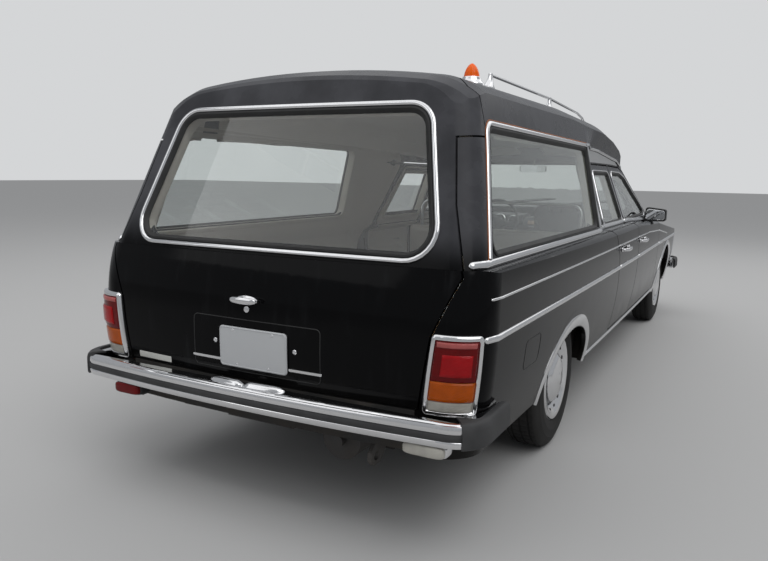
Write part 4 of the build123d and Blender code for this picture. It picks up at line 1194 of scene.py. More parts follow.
# Roof fittings
def amber_lamp(word, side):
    """Amber dome with flutes, whose radius falls from the foot as a half teardrop, in a bright flared
    skirt."""
    x, y, top = 0.990, side * 0.425, 1.748
    t, v = lap(72), np.linspace(0, 1, 22)[:-1, None]
    r = 0.0355 * (1 - v**2.2) ** 0.62 * (1 - 0.10 * v) * (1 - 0.035 * (0.5 + 0.5 * np.cos(24 * t)))
    dome = xyz(x + r * np.cos(t), y + r * np.sin(t), top - 0.067 * (1 - v))
    replaced = ("amber_lamps",) if side > 0 else ()
    solid_grid(f"amber_dome_{word}", dome, AMBER_DOME, high=(x, y, top), replaced=replaced, slot="lamp_amber")
    r, z = np.array([
        (0.0352, 1.688), (0.0385, 1.6895), (0.0405, 1.686), (0.0425, 1.678), (0.0470, 1.670),
        (0.0540, 1.663), (0.0565, 1.658), (0.0570, 1.636), (0.0340, 1.636),
    ]).T
    t = t[:, None]
    solid_grid(f"amber_skirt_{word}", xyz(x + r * np.cos(t), y + r * np.sin(t), z), CHROME, close_u=True)


# Each foot of a roof rail: station, height of its sole, rise to the bar, and size against the first
RAIL_FEET = ((1.160, 1.652, 0.066, 1.0), (2.160, 1.648, 0.060, 0.75), (3.052, 1.597, 0.040, 0.62))


def roof_rail(word, side):
    """A thin bar bent down at the front, on cast feet: ovals that shrink from a wide sole to a neck
    round the bar."""
    rise, shift, length, width = np.array([
        (-0.35, -0.045, 0.078, 0.034), (0.0, -0.045, 0.076, 0.033), (0.06, -0.038, 0.064, 0.029),
        (0.18, -0.027, 0.049, 0.023), (0.38, -0.014, 0.033, 0.017), (0.6, -0.006, 0.0225, 0.0135),
        (0.8, -0.001, 0.0160, 0.0110), (1.0, 0.0, 0.0135, 0.0100), (1.10, 0.0, 0.0115, 0.0090),
        (1.15, 0.0, 0.0060, 0.0045),
    ]).T[:, :, None]
    t, rail_y = lap(36), 0.450
    for k, (x, z, high, size) in enumerate(RAIL_FEET):
        scale = 1 + (size - 1) * np.clip(1 - rise, 0, 1)
        along = x + shift * size + length * scale * np.cos(t)
        foot = xyz(along, side * (rail_y + width * scale * np.sin(t)), z + high * rise)
        extra = {"replaced": ("roof_rails",), "slot": "bright_metal"} if k == 0 and side > 0 else {}
        solid_grid(f"roof_rail_foot_{k}_{word}", foot, CHROME, **extra)
    (xa, za, ha, _), (xb, zb, hb, _), (xc, zc, _, _) = RAIL_FEET
    bend = [(2.840, 1.679), (2.985, 1.658), (3.040, 1.634)]
    corners = [(xa - 0.006, za + ha), (xb, zb + hb), *bend, (xc, zc + 0.012)]
    x, z = dense(corners, closed=False).T
    tube(f"roof_rail_bar_{word}", xyz(x, side * rail_y, z), 0.0085, CHROME, flat=0.8)


# Wheels
def wheel_ring(profile, axle, side, steps=96):
    """A profile of (radius, outward offset) turned round the axle."""
    r, offset = np.array(profile).T
    t = lap(steps)[:, None]
    return xyz(AXLES[axle] + r * np.cos(t), side * (TRACK_Y + offset), AXLE_Z + r * np.sin(t))


def tyre_surface(axle, word, side):
    """Tyre: shoulder, sidewall and bead from one outline, with ribs and sipes pressed into the crown."""
    h, steps = TYRE_W / 2, 240
    wall = [
        (0.001, -0.021), (0.006, -0.013), (0.014, -0.0075), (0.030, -0.003), (0.050, -0.0005),
        (0.052, 0.0), (0.056, -0.0008), (0.086, -0.0045), (0.088, -0.0032), (0.091, -0.0048),
    ]
    shoulder = [(-0.024, -0.0125), (-0.016, -0.016), (-0.008, -0.0225), (-0.003, -0.029), (-0.0012, -0.034)]
    groove = [(0, 0.0055), (-0.0075, 0.0035), (-0.0075, -0.0035), (0, -0.0055)]
    half = [(RIM_R + r, h + o) for r, o in wall] + [(TYRE_R + r, h + o) for r, o in shoulder]
    grooves = [(TYRE_R + r, middle + o) for middle in (0.040, 0.0, -0.040) for r, o in groove]
    outline = np.array(half + grooves + [(r, -o) for r, o in reversed(half)])
    radius, offset = outline.T
    crown = (radius > TYRE_R - 0.002) & (np.abs(offset) < h - 0.020)
    sipe = np.where(crown & (np.arange(steps) % 4 == 0)[:, None], 0.004, 0.0)
    angle = lap(steps)[:, None]
    points = wheel_ring(outline, axle, side, steps) - xyz(sipe * np.cos(angle), 0, sipe * np.sin(angle))
    inner = wheel_ring([(RIM_R + 0.001, 0.040 - h), (RIM_R + 0.001, h - 0.040)], axle, side, steps)
    solid_grid(f"tyre_tread_{axle}_{word}", np.concatenate([points, inner], 1), TYRE, f"wheel_{axle}_{word}",
               close_u=True, replaced=(f"tyre_{axle}_{word}",), slot="tyre_rubber", sharp=28)


# Front face of the bright ring: radius from the rim's edge, offset from the tyre's side
RING_FACE = [
    (0.002, -0.004), (-0.006, -0.0035), (-0.018, -0.010),
    (-0.030, -0.0155), (-0.044, -0.0210), (-0.054, -0.0280),
]


def trim_ring(axle, word, side):
    """Bright ring over the rim's lip, and a domed cap with a stepped edge."""
    h, body = TYRE_W / 2, f"wheel_{axle}_{word}"
    behind = [(-0.056, -0.0300), (-0.044, -0.0235), (-0.018, -0.0135), (-0.004, -0.0075), (0.005, -0.0105)]
    ring = np.array(RING_FACE + behind) + [RIM_R, h]
    solid_grid(f"trim_ring_{axle}_{word}", wheel_ring(ring, axle, side), CHROME, body, close_u=True)
    cap = np.array([
        (0.1150, -0.022), (0.1165, -0.017), (0.1120, -0.012), (0.1040, -0.009), (0.0980, -0.0035),
        (0.0900, 0.000), (0.0720, 0.0045), (0.0450, 0.0085), (0.0300, 0.0100), (0.0280, 0.0114),
        (0.0150, 0.0118), (0.0010, 0.0119),
    ])
    rings = wheel_ring(cap + [0, h], axle, side).transpose(1, 0, 2)
    solid_grid(f"wheel_cap_{axle}_{word}", rings, CHROME, body, sharp=40)


def ring_slots(axle, word, side):
    """Fourteen slots on the bright ring: ovals in angle and radius on its face, each a thin closed plate in black
    rubber finish, a painted shade in place of the dark inside of an opening."""
    count, sides = 14, 16
    angle = lap(count)[:, None] + 0.078 * np.cos(lap(sides))
    radius = RIM_R - 0.040 + 0.0055 * np.sin(lap(sides))
    offset = TRACK_Y + TYRE_W / 2 + np.interp(radius - RIM_R, *np.array(RING_FACE[::-1]).T)
    x, z = AXLES[axle] + radius * np.cos(angle), AXLE_Z + radius * np.sin(angle)
    plates = [xyz(x, side * (offset + out), z) for out in (0.0006, -0.0020)]
    here = np.arange(sides)
    after = (here + 1) % sides
    one = np.stack([here, after, after + sides, here + sides], -1).tolist()
    one += [here.tolist(), (here[::-1] + sides).tolist()]
    faces = [[i + 2 * sides * k for i in face] for k in range(count) for face in one]
    # Black plates on the ring's face: painted shade standing for open slots.
    put_mesh(f"ring_slots_{axle}_{word}", np.concatenate(plates, 1), faces, GASKET, f"wheel_{axle}_{word}")


bumper_dressing()
low_lamps()
for part, x_mid in (("rear", 2.385), ("front", 3.065)):
    for word, side in SIDES.items():
        door_handle(part, x_mid, word, side)
fuel_flap()
for word, side in SIDES.items():
    mirror_glass(word, side)
    amber_lamp(word, side)
    roof_rail(word, side)
for axle in AXLES:
    for word, side in SIDES.items():
        tyre_surface(axle, word, side)
        trim_ring(axle, word, side)
        ring_slots(axle, word, side)


# Linings inside
BODY_WALL, CABIN_WALL = 0.060, 0.052
# Station, half width, side top, shoulder y and z, crown edge y and z, crown height
ROOF_ROWS = np.array([
    (0.255, 0.676, 1.375, 0.600, 1.466, 0.462, 1.512, 1.540),
    (0.325, 0.728, 1.440, 0.650, 1.548, 0.506, 1.600, 1.632),
    (0.440, 0.745, 1.462, 0.668, 1.577, 0.520, 1.630, 1.665),
    (1.700, 0.745, 1.462, 0.668, 1.580, 0.520, 1.632, 1.672),
    (2.500, 0.731, 1.448, 0.654, 1.562, 0.508, 1.614, 1.656),
    (2.850, 0.717, 1.425, 0.636, 1.532, 0.492, 1.586, 1.630),
    (3.150, 0.702, 1.388, 0.616, 1.488, 0.470, 1.543, 1.588),
    (3.350, 0.688, 1.350, 0.600, 1.430, 0.455, 1.484, 1.522),
    (3.540, 0.664, 1.300, 0.580, 1.345, 0.436, 1.390, 1.418),
])


def roof_point(x, s, drop):
    """The roof at station x and share s across, lowered by drop: a parabola over the crown, then a
    quadratic curve through the shoulder down to the side top, held inside the wall."""
    row = (column(ROOF_ROWS, x, k) for k in range(1, 8))
    half, side_z, shoulder_y, shoulder_top, crown_y, crown_z, top = row
    half, side_z, crown_z, top = half + 0.030 - drop, side_z - drop, crown_z - drop, top - drop
    shoulder_y, shoulder_top = shoulder_y - 0.7 * drop, shoulder_top - 0.7 * drop
    a = np.abs(s)
    over, t = np.clip(a / 0.6, 0, 1), np.clip((a - 0.6) / 0.4, 0, 1)
    bend_y, bend_z = 2 * shoulder_y - (crown_y + half) / 2, 2 * shoulder_top - (crown_z + side_z) / 2
    down_y = (1 - t) ** 2 * crown_y + 2 * t * (1 - t) * bend_y + t**2 * half
    down_z = (1 - t) ** 2 * crown_z + 2 * t * (1 - t) * bend_z + t**2 * side_z
    y = np.where(a < 0.6, crown_y * over, down_y)
    z = np.where(a < 0.6, top - (top - crown_z) * over**2, down_z)
    return xyz(x, np.sign(s) * np.minimum(y, cabin_y(x, z) - drop), z)


def inner_side(side, depth):
    """The inside of the wall: under the belt the lower room, over it the cabin, with a soft step
    between."""

    def point(x, z):
        low = lower_y(x, np.minimum(z, 0.90)) - BODY_WALL
        high = cabin_y(x, np.maximum(z, 0.93)) - CABIN_WALL
        return xyz(x, side * (low + (high - low) * smooth(z, 0.862, 0.900) - depth), z)

    return point


def inner_gate(depth):
    """The tailgate's inner face at offset y and height z: bowed, with a quarter circle at each corner."""

    def point(y, z):
        low, high = level(np.clip(z, 0.3, 0.9), 2) + BODY_WALL, column(GLASS_LEVELS, z, 1) + CABIN_WALL
        half = column(GLASS_LEVELS, z, 2) - CABIN_WALL - 0.008
        r = GLASS_CORNER - 0.6 * CABIN_WALL
        over = np.clip(np.abs(y) - (half - r), 0, r)
        bow = 0.022 * (y / (half - r)) ** 2
        rear = low + (high - low) * smooth(z, 0.90, 0.93)
        return xyz(rear + bow + r - np.sqrt(r**2 - over**2) + depth, y, z)

    return point


def matched(points, radius):
    """A closed outline with rounded corners, cut into as many points as any other with as many corners."""
    arcs = rounded(points, radius, 6).reshape(len(points), 7, 2)
    share = (np.arange(1, 10) / 10)[:, None]
    runs = [[arc, arc[-1] + (after[0] - arc[-1]) * share] for arc, after in zip(arcs, np.roll(arcs, -1, 0))]
    return np.concatenate([np.concatenate(run) for run in runs])


def surround(name, hole, outer, radius, place, body):
    """Lining between a window and the panel's edge: a ring whose points run straight from one outline to
    the other, with its rims turned back to the wall."""
    inner_line, outer_line = matched(grown(hole, 0.013), radius + 0.013), matched(outer, 0.03)
    flat = inner_line[:, None] + (outer_line - inner_line)[:, None] * np.linspace(0, 1, 8)[:, None]
    front, back = (place(depth)(flat[..., 0], flat[..., 1]) for depth in (0.007, 0.001))
    solid_grid(name, np.concatenate([front, back[:, ::-1]], 1), TRIM, body, close_u=True)


def reveal(name, outline, radius, surface, body, depth):
    """Trim on the cut edge of a window, from the glass in to the lining, with a lip over the lining."""
    start, d = -0.016, -depth
    lip = [
        (-0.001, start), (-0.005, start - 0.002), (-0.006, d - 0.004), (-0.003, d - 0.010),
        (0.012, d - 0.011), (0.018, d - 0.008), (0.018, d - 0.003), (-0.001, d + 0.004),
    ]
    bead(name, surface, dense(rounded(outline, radius)), lip, TRIM, body)


def headliner():
    """Stretched lining under the roof, with a shallow roll between its bows, and its rear part on the
    tailgate."""
    s = np.linspace(-1, 1, 57)
    for name, body, x0, x1, count in (
        ("headliner", "body", 0.592, 3.365, 90), ("headliner_rear", "tailgate", 0.365, 0.548, 14),
    ):
        cut = np.abs(s) ** 2.5 if body == "body" else np.clip(np.abs(s) - 0.45, 0, 1) ** 0.8
        x = x0 + (x1 - 0.10 * cut - x0) * np.linspace(0, 1, count)[:, None]
        roll = 0.004 * np.abs(np.sin(math.pi * (x - 0.59) / 0.46)) if body == "body" else 0 * x
        shell(name, roof_point(x, s, 0.058) - xyz(0, 0, 0.004 - roll), roof_point(x, s, 0.0545), LINING, body)


def window_linings():
    """Surrounds and reveals of the side windows and of the tailgate's, in pale trim."""
    gate_outer = mirrored([(0.735, 0.955), (0.592, 1.524)])
    surround("gate_window_surround", GATE_GLASS, gate_outer, GATE_GLASS_R, inner_gate, "tailgate")
    reveal("gate_window_reveal", GATE_GLASS, GATE_GLASS_R, tail_point, "tailgate", 0.049)
    load_outer = [(0.192, 0.716), (2.120, 0.716), (2.352, 1.400), (0.402, 1.462)]
    rear_outer = [(2.236, 0.918), (2.904, 0.918), (2.892, 1.312), (2.410, 1.316)]
    front_outer = [
        (2.962, 0.918), (3.930, 0.918), (3.600, 1.168), (3.430, 1.276), (3.296, 1.304), (2.966, 1.312),
    ]
    for word, side in SIDES.items():
        place = partial(inner_side, side)
        for name, body, glass, outer, radius in (
            ("load", "body", LOAD_GLASS, load_outer, LOAD_GLASS_R),
            ("rear_door", f"door_rear_{word}", REAR_DOOR_GLASS, rear_outer, DOOR_GLASS_R),
            ("front_door", f"door_front_{word}", FRONT_DOOR_GLASS, front_outer, DOOR_GLASS_R),
        ):
            surround(f"{name}_surround_{word}", glass, outer, radius, place, body)
            reveal(f"{name}_reveal_{word}", glass, radius, on_side(side, True), body, 0.975 * CABIN_WALL)


def door_card(part, x0, x1, word, side):
    """Padded inner panel of a door: armrest and map pocket are smooth swells, and seams are narrow
    hollows."""
    body, z0 = f"door_{part}_{word}", 0.412
    x, z = grid((x0, x1, 90), (z0, 0.912, 60))
    mid, length = (x0 + x1) / 2, x1 - x0
    along = smooth(np.abs(x - mid + 0.04 * length), 0.36 * length, 0.24 * length)
    rest = along * np.exp(-(((z - 0.700) / 0.030) ** 4)) * (0.052 - 0.25 * np.abs(z - 0.715))
    pocket = 0.020 * smooth(np.abs(x - mid), 0.42 * length, 0.36 * length)
    pocket = pocket * smooth(z, 0.44, 0.455) * smooth(z, 0.585, 0.57)
    seams = -0.003 * (np.exp(-(((z - 0.640) / 0.004) ** 2)) + np.exp(-(((z - 0.860) / 0.004) ** 2)))
    pads = 0.004 * np.sin(math.pi * np.clip((z - 0.640) / 0.220, 0, 1)) ** 0.5
    rim = smooth(np.minimum(np.minimum(x - x0, x1 - x), z - z0), 0, 0.014)
    front = inner_side(side, 0.003 + (0.006 + rest + pocket + seams + pads) * rim)(x, z)
    shell(f"{body}_card", front, inner_side(side, 0.001)(x, z), TRIM, body)


def door_levers(part, x0, x1, word, side):
    """Door opener and window winder on the card."""
    body, a = f"door_{part}_{word}", np.linspace(0, 1, 14)
    bulge = 0.004 + 0.016 * np.sin(math.pi * np.clip(a * 1.3, 0, 1))
    lever = inner_side(side, 0.014)(x1 - 0.16, 0.785) - xyz(0.095 * a, side * bulge, -0.006 * a)
    tube(f"{body}_lever", lever, 0.0075 - 0.003 * a, CHROME, body, flat=0.55)
    hub = inner_side(side, 0.032)(x0 + 0.30 * (x1 - x0), 0.600)
    arm = hub + xyz(0.105 * a, -side * 0.012 * a, 0.050 * a)
    tube(f"{body}_winder", arm, 0.009 - 0.003 * a, CHROME, body, flat=0.6)
    tube(f"{body}_winder_knob", [arm[-1], arm[-1] - [0, side * 0.030, 0]], 0.011, BLACK_PLASTIC, body)


def gate_card():
    """Inner panel of the tailgate under its window, with a pressed field."""
    z0, z1 = 0.535, 0.925
    share, z = grid((-1, 1, 90), (z0, z1, 40))
    y = share * np.interp(z, [z0, 0.755, z1], [0.600, 0.640, 0.700])
    edge = np.minimum(0.60 - np.abs(y), np.minimum(z - 0.56, 0.90 - z))
    lift = 0.005 + 0.006 * smooth(edge, -0.03, -0.015) - 0.004 * smooth(edge, 0.02, 0.035)
    shell("gate_card", inner_gate(lift)(y, z), inner_gate(0.0005)(y, z), TRIM, "tailgate")


ROLLERS = 0.260 + 0.380 * np.arange(7)


def load_floor_side(word, side):
    """Cap on a guide rail, carpet on the wheel box and bright strips between the boards, cut for the
    rollers."""
    y, z = np.array([
        (0.2975, 0.566), (0.2975, 0.5945), (0.2995, 0.5965),
        (0.3165, 0.5965), (0.3185, 0.5945), (0.3185, 0.566),
    ]).T
    solid_grid(f"guide_cap_{word}", xyz(np.linspace(0.152, 2.558, 60)[:, None], side * y, z), CHROME)
    floor_z = 0.562
    y = np.array([0.5475, 0.5475, 0.552, 0.566, 0.700, 0.812])
    height = np.array([floor_z, 0.690, 0.706, 0.7155, 0.7155, 0.7155]) - floor_z
    share, rise = np.array([
        (-1, 0), (-1, 0.90), (-0.995, 0.97), (-0.98, 1), (-0.5, 1), (0, 1),
        (0.5, 1), (0.98, 1), (0.995, 0.97), (1, 0.90), (1, 0),
    ]).T[:, :, None]
    x, z = AXLES["rear"] + 0.4215 * share, floor_z + height * rise
    under = xyz(x, side * (y + 0.003), np.maximum(z - 0.003, 0.5605))
    shell(f"wheel_box_carpet_{word}", xyz(x, side * y, z), under, CARPET)
    across, z = np.array([
        (-0.009, 0.5595), (-0.007, 0.5625), (0.0, 0.5635), (0.007, 0.5625), (0.009, 0.5595),
    ]).T
    start, end = 0.156, 2.596
    between = [(a + 0.024, a + 0.356) for a in ROLLERS[:-1]]
    cut = [(start, ROLLERS[0] - 0.024), *between, (ROLLERS[-1] + 0.024, end)]
    for k, y in enumerate((0.100, 0.200, 0.420, 0.520)):
        for j, ends in enumerate(cut if k < 2 else [(start, end)]):
            strip = xyz(np.array(ends)[:, None], side * (y + across), z)
            solid_grid(f"board_strip_{word}_{k}_{j}", strip, CHROME)


def rollers_and_bulkhead():
    """Steel sleeves on the rollers, channelled pads on both faces of the bulkhead, and the guard bar
    over it."""
    half = np.array([
        (0.027, 0.0190), (0.030, 0.0172), (0.147, 0.0172), (0.150, 0.0190), (0.203, 0.0190),
        (0.206, 0.0172), (0.266, 0.0172), (0.2705, 0.0155), (0.2705, 0.0050),
    ])
    y, r = np.concatenate([(half * [-1, 1])[::-1], half]).T[:, :, None]
    for k, x in enumerate(ROLLERS):
        sleeve = xyz(x + r * np.cos(lap(32)), y, 0.566 + r * np.sin(lap(32)))
        solid_grid(f"roller_sleeve_{k}", sleeve, STEEL)
    half_y, z0, z1 = 0.618, 0.566, 0.885
    y, z = grid((-half_y, half_y, 60), (z0, z1, 24))
    edge = smooth(np.minimum(half_y - np.abs(y), np.minimum(z - z0, z1 - z)), 0, 0.016)
    lift = 0.002 + (0.005 + 0.006 * np.abs(np.sin(math.pi * y / 0.206)) ** 0.4) * edge
    for end, x, way in (("rear", 2.599, -1), ("front", 2.641, 1)):
        shell(f"bulkhead_pad_{end}", xyz(x + way * lift, y, z), xyz(x, y, z), TRIM)
    arc = np.linspace(0, math.pi / 2, 7)
    bend = np.stack([0.500 + 0.060 * np.cos(arc), 1.020 + 0.060 * np.sin(arc)], -1)
    y, z = mirrored([(0.560, 0.870), *bend]).T
    tube("bulkhead_guard", xyz(2.620, y, z), 0.0095, STEEL, up=(1, 0, 0))


def cabin_carpet():
    """Carpet before the bulkhead: flat, over the tunnel by a soft step across, up the toe board by a
    slope along."""
    stations = np.concatenate([np.linspace(2.648, 3.890, 12), np.linspace(3.905, 4.085, 12)])[:, None]
    y, floor_z = np.linspace(-0.735, 0.735, 121), 0.3765
    flat = floor_z + 0.108 * smooth(0.160 - np.abs(y), 0, 0.028)
    top = np.maximum(flat, floor_z + 1.05 * (stations - 3.910))
    shell("cabin_carpet", xyz(stations, y, top), xyz(stations, y, top - 0.003), CARPET)


headliner()
window_linings()
for part, x0, x1 in (("rear", 2.300, 2.900), ("front", 2.962, 3.950)):
    for word, side in SIDES.items():
        door_card(part, x0, x1, word, side)
        door_levers(part, x0, x1, word, side)
gate_card()
for word, side in SIDES.items():
    load_floor_side(word, side)
rollers_and_bulkhead()
cabin_carpet()


# Seats
def pillow(outline, y0, y1, radius):
    """A closed pillow to start from: a rounded outline in x and z, carried across and drawn in at both
    ends as a superellipse."""
    around, across, squareness = 96, 40, 0.32
    edge = dense(rounded(outline, radius), 0.012)
    edge = edge[np.linspace(0, len(edge), around, endpoint=False).astype(int)]
    a = np.linspace(-math.pi / 2, math.pi / 2, across)[1:-1, None]
    y = (y0 + y1) / 2 + (y1 - y0) / 2 * np.sign(np.sin(a)) * np.abs(np.sin(a)) ** squareness
    shrink = np.cos(a) ** squareness
    (x0, z0), (x, z) = edge.mean(0), edge.T
    points = xyz(x0 + (x - x0) * shrink, y, z0 + (z - z0) * shrink)
    last = (len(a) - 1) * around
    faces = grid_faces(len(a), around, False, True).tolist()
    faces += [list(range(around))[::-1], list(range(last, last + around))]
    return points.reshape(-1, 3), faces


def evaluated(obj):
    """The mesh of an object with its modifiers worked out."""
    return bpy.data.meshes.new_from_object(obj.evaluated_get(bpy.context.evaluated_depsgraph_get()))


def read_vertices(mesh, what="co"):
    values = np.empty(len(mesh.vertices) * 3)
    mesh.vertices.foreach_get(what, values)
    return values.reshape(-1, 3)


def inflated(verts, faces, cell=0.008, cap=0.022, pressure=4.0):
    """A cover that air has swollen: even cells, 20 frames of cloth without weight, movement held to cap,
    then one subdivision. Returns its points, normals and faces."""
    mesh = bpy.data.meshes.new("cover_start")
    mesh.from_pydata(verts.tolist(), [], faces)
    cover = bpy.data.objects.new("cover_start", mesh)
    bpy.context.scene.collection.objects.link(cover)
    outward(mesh)
    remesh = cover.modifiers.new("even_cells", "REMESH")
    remesh.mode, remesh.voxel_size = "VOXEL", cell
    cover.data = evaluated(cover)
    cover.modifiers.clear()
    start = read_vertices(cover.data)
    cloth_settings = cover.modifiers.new("cover", "CLOTH").settings
    cloth_settings.quality, cloth_settings.mass = 6, 0.3
    cloth_settings.use_pressure, cloth_settings.uniform_pressure_force = True, pressure
    cloth_settings.effector_weights.gravity = 0
    for frame_number in range(1, 21):
        bpy.context.scene.frame_set(frame_number)
    move = read_vertices(evaluated(cover)) - start
    length = np.linalg.norm(move, axis=1, keepdims=True) + 1e-9
    held = start + move * np.minimum(1, cap / length)
    cover.modifiers.clear()
    cover.data.vertices.foreach_set("co", held.ravel())
    bpy.context.scene.frame_set(1)
    smoother = cover.modifiers.new("finer", "SUBSURF")
    smoother.levels = smoother.render_levels = 1
    final = evaluated(cover)
    bpy.data.objects.remove(cover)
    return read_vertices(final), read_vertices(final, "normal"), [list(p.vertices) for p in final.polygons]


def seats():
    """Two front seats: swollen covers with sewn channels over the middle and a border seam, on moulded
    bases."""
    cushion = [(2.972, 0.462), (3.470, 0.490), (3.486, 0.580), (3.430, 0.600), (2.972, 0.548)]
    back = [(2.862, 0.520), (2.974, 0.530), (2.908, 1.066), (2.866, 1.104), (2.786, 1.086)]
    for label, outline, length_axis, sitter_axis, low, high in (
        ("cushion", cushion, 0, 2, 3.03, 3.40), ("back", back, 2, 0, 0.66, 1.02),
    ):
        points, normals, polygons = inflated(*pillow(outline, 0.172, 0.628, 0.020))
        y, along = points[:, 1] - 0.40, points[:, length_axis]
        middle = smooth(0.150 - np.abs(y), 0, 0.012)
        middle = middle * smooth(along, low, low + 0.012) * smooth(high - along, 0, 0.012)
        pitch, seam = 0.050, 0.0045
        channel = np.exp(-((((y / pitch + 0.5) % 1.0 - 0.5) * pitch / seam) ** 2)) * middle
        edge = np.maximum(np.abs(y) - 0.155, np.maximum(low - 0.004 - along, along - high - 0.004))
        border = np.exp(-((edge / 0.005) ** 2))
        depth = np.where(normals[:, sitter_axis] > 0.35, 0.0050 * channel + 0.0060 * border, 0)
        points = points - normals * depth[:, None]
        for word, side in SIDES.items():
            order = polygons if side > 0 else [face[::-1] for face in polygons]
            cover = put_mesh(f"seat_{label}_{word}", points * [1, side, 1], order, SEAT_CLOTH, sharp=180,
                             replaced=("seats",), slot="seat_cloth", turn=False)
    a = np.linspace(0, 1, 12)
    for word, side in SIDES.items():
        pod(f"seat_base_{word}", (3.205, side * 0.380, 0.424), (0.460, 0.400, 0.102), BLACK_PLASTIC, 9,
            replaced=("seats",), slot="seat_cloth")
        for k, y in enumerate((0.158, 0.642)):
            arm = xyz(2.930 - 0.05 * a, side * y, 0.520 + 0.150 * a)
            tube(f"seat_hinge_{word}_{k}", arm, 0.020 - 0.010 * a, CHROME, flat=0.30, up=(1, 0, 0))


# Driving controls
WHEEL_CENTRE, WHEEL_TILT = (3.590, 0.365, 0.880), math.radians(25)


def on_wheel(across, up, toward):
    """A point given across and up the steering wheel's plane and toward the driver."""
    x, y, z = WHEEL_CENTRE
    c, s = math.cos(WHEEL_TILT), math.sin(WHEEL_TILT)
    return xyz(x + s * up - c * toward, y + across, z + c * up + s * toward)


def steering_wheel_pieces():
    """Rim: a torus whose tube has finger hollows on its far side. Spokes and pad: one slab, wide and
    thick at the hub."""
    a, b = lap(192)[:, None], lap(16)
    r = 0.012 - 0.0012 * (0.5 + 0.5 * np.cos(40 * a)) * np.clip(-np.sin(b), 0, 1)
    reach = 0.195 + r * np.cos(b)
    rim = on_wheel(reach * np.cos(a), reach * np.sin(a), r * np.sin(b))
    solid_grid("steering_rim", rim, BLACK_PLASTIC, close_u=True,
               replaced=("steering_wheel",), slot="black_plastic")
    length = 0.188
    s, w = grid((-length, length, 80), (-1, 1, 17))
    half = 0.015 + 0.040 * np.exp(-((s / 0.075) ** 4)) + 0.006 * smooth(np.abs(s), 0.12, length)
    lift = (0.004 + 0.020 * np.exp(-((s / 0.070) ** 4))) * np.sqrt(1 - w**4)
    sag = -0.010 * np.sin(math.pi * np.abs(s) / length) ** 2
    front, back = (on_wheel(s, half * w - 0.004, sag + toward) for toward in (lift, -0.006))
    shell("steering_spokes", front, back, BLACK_PLASTIC)


def dial(name, y, z, radius):
    """An instrument: a bezel ring and a shallow dished face behind it, both leaning as the dashboard
    does."""
    t, lean = lap(48)[:, None], 0.235

    def place(r, out):
        up = r * np.sin(t)
        return xyz(3.7365 + out + lean * up, y + r * np.cos(t), z + up)

    edge, out = np.array([
        (0.004, 0.000), (0.004, -0.006), (0.001, -0.009), (-0.002, -0.006), (-0.003, 0.000),
    ]).T
    solid_grid(f"{name}_bezel", place(radius + edge, out), CHROME, close_u=True)
    share = np.array([1.0, 1.0, 0.75, 0.5, 0.12, 0.10])
    out = np.array([0.002, -0.002, -0.001, -0.001, -0.001, -0.004])
    solid_grid(f"{name}_face", place(radius * share, out).transpose(1, 0, 2), DIAL)


def dash_x(z):
    """Station of the dashboard's face at height z."""
    return np.interp(z, [0.760, 0.860, 0.915], [3.760, 3.740, 3.790])


def dashboard_pieces():
    """Dials, air vents, wood strip and glove box edge."""
    for k, (y, radius) in enumerate(((0.250, 0.038), (0.365, 0.046), (0.480, 0.038))):
        dial(f"dial_{k}", y, 0.892, radius)
    for k, y in enumerate((-0.600, -0.070, 0.070, 0.620)):
        for j, z in enumerate(np.linspace(0.800, 0.845, 6)):
            line = xyz(dash_x(z) - 0.004, [y - 0.048, y + 0.048], z)
            tube(f"vent_{k}_{j}", line, 0.0032, BLACK_PLASTIC if 0 < j < 5 else CHROME, sides=8)
    y0, y1, z0, z1 = -0.640, 0.130, 0.862, 0.893
    y, z = grid((y0, y1, 60), (z0, z1, 8))
    edge = np.minimum(np.minimum(y - y0, y1 - y), np.minimum(z - z0, z1 - z))
    x = dash_x(z)
    face = xyz(x - 0.0005 - 0.0035 * smooth(edge, 0, 0.004), y, z)
    shell("dash_wood_strip", face, xyz(x + 0.002, y, z), BOARDS)
    lid = dense(rounded(box(-0.560, -0.180, 0.772, 0.852), 0.012))
    bead("glove_box_edge", lambda y, z: xyz(dash_x(z) - 0.0005, y, z), lid, half_round(0.005, 0.002), CHROME)


def gear_lever():
    """Lever with its knob, on a boot whose radius waves between folds."""
    a, t = np.linspace(0, 1, 16), lap(32)
    lever = xyz(3.455 - 0.060 * a + 0.02 * np.sin(3 * a), 0, 0.500 + 0.170 * a)
    tube("gear_lever", lever, 0.0060 - 0.001 * a, CHROME)
    pod("gear_knob", (3.412, 0, 0.684), (0.036, 0.034, 0.050), BLACK_PLASTIC, 2.4)
    v = np.linspace(0, 1, 14)[:, None]
    r = (0.062 - 0.050 * v**0.7) * (1 + 0.05 * np.cos(9 * math.pi * v))
    boot = xyz(3.455 - 0.012 * v + 1.3 * r * np.cos(t), r * np.sin(t), 0.4815 + 0.060 * v)
    solid_grid("gear_boot", boot, GASKET)


def inner_mirror():
    """A plate with rounded ends and a bulged back, its glass, and the stalk to the roof."""
    u, w = grid((-1, 1, 30), (-1, 1, 12))
    across, up = u * np.sqrt(1 - 0.35 * np.abs(w) ** 6), w * np.sqrt(1 - 0.12 * np.abs(u) ** 8)
    face = xyz(3.395, 0.105 * across, 1.315 + 0.026 * up)
    bulge = 0.002 + 0.018 * np.sqrt(1 - np.maximum(np.abs(u), np.abs(w)) ** 3)
    shell("inner_mirror", face, face + xyz(bulge, 0, 0), BLACK_PLASTIC)
    glass = face * [1, 0.94, 1]
    shell("inner_mirror_glass", glass - [0.0008, 0, 0], glass + [0.001, 0, 0], MIRROR)
    stalk = [(3.412, 0, 1.325), (3.424, 0, 1.352), (3.432, 0, 1.385)]
    tube("inner_mirror_stalk", stalk, 0.005, CHROME, up=(0, 1, 0))


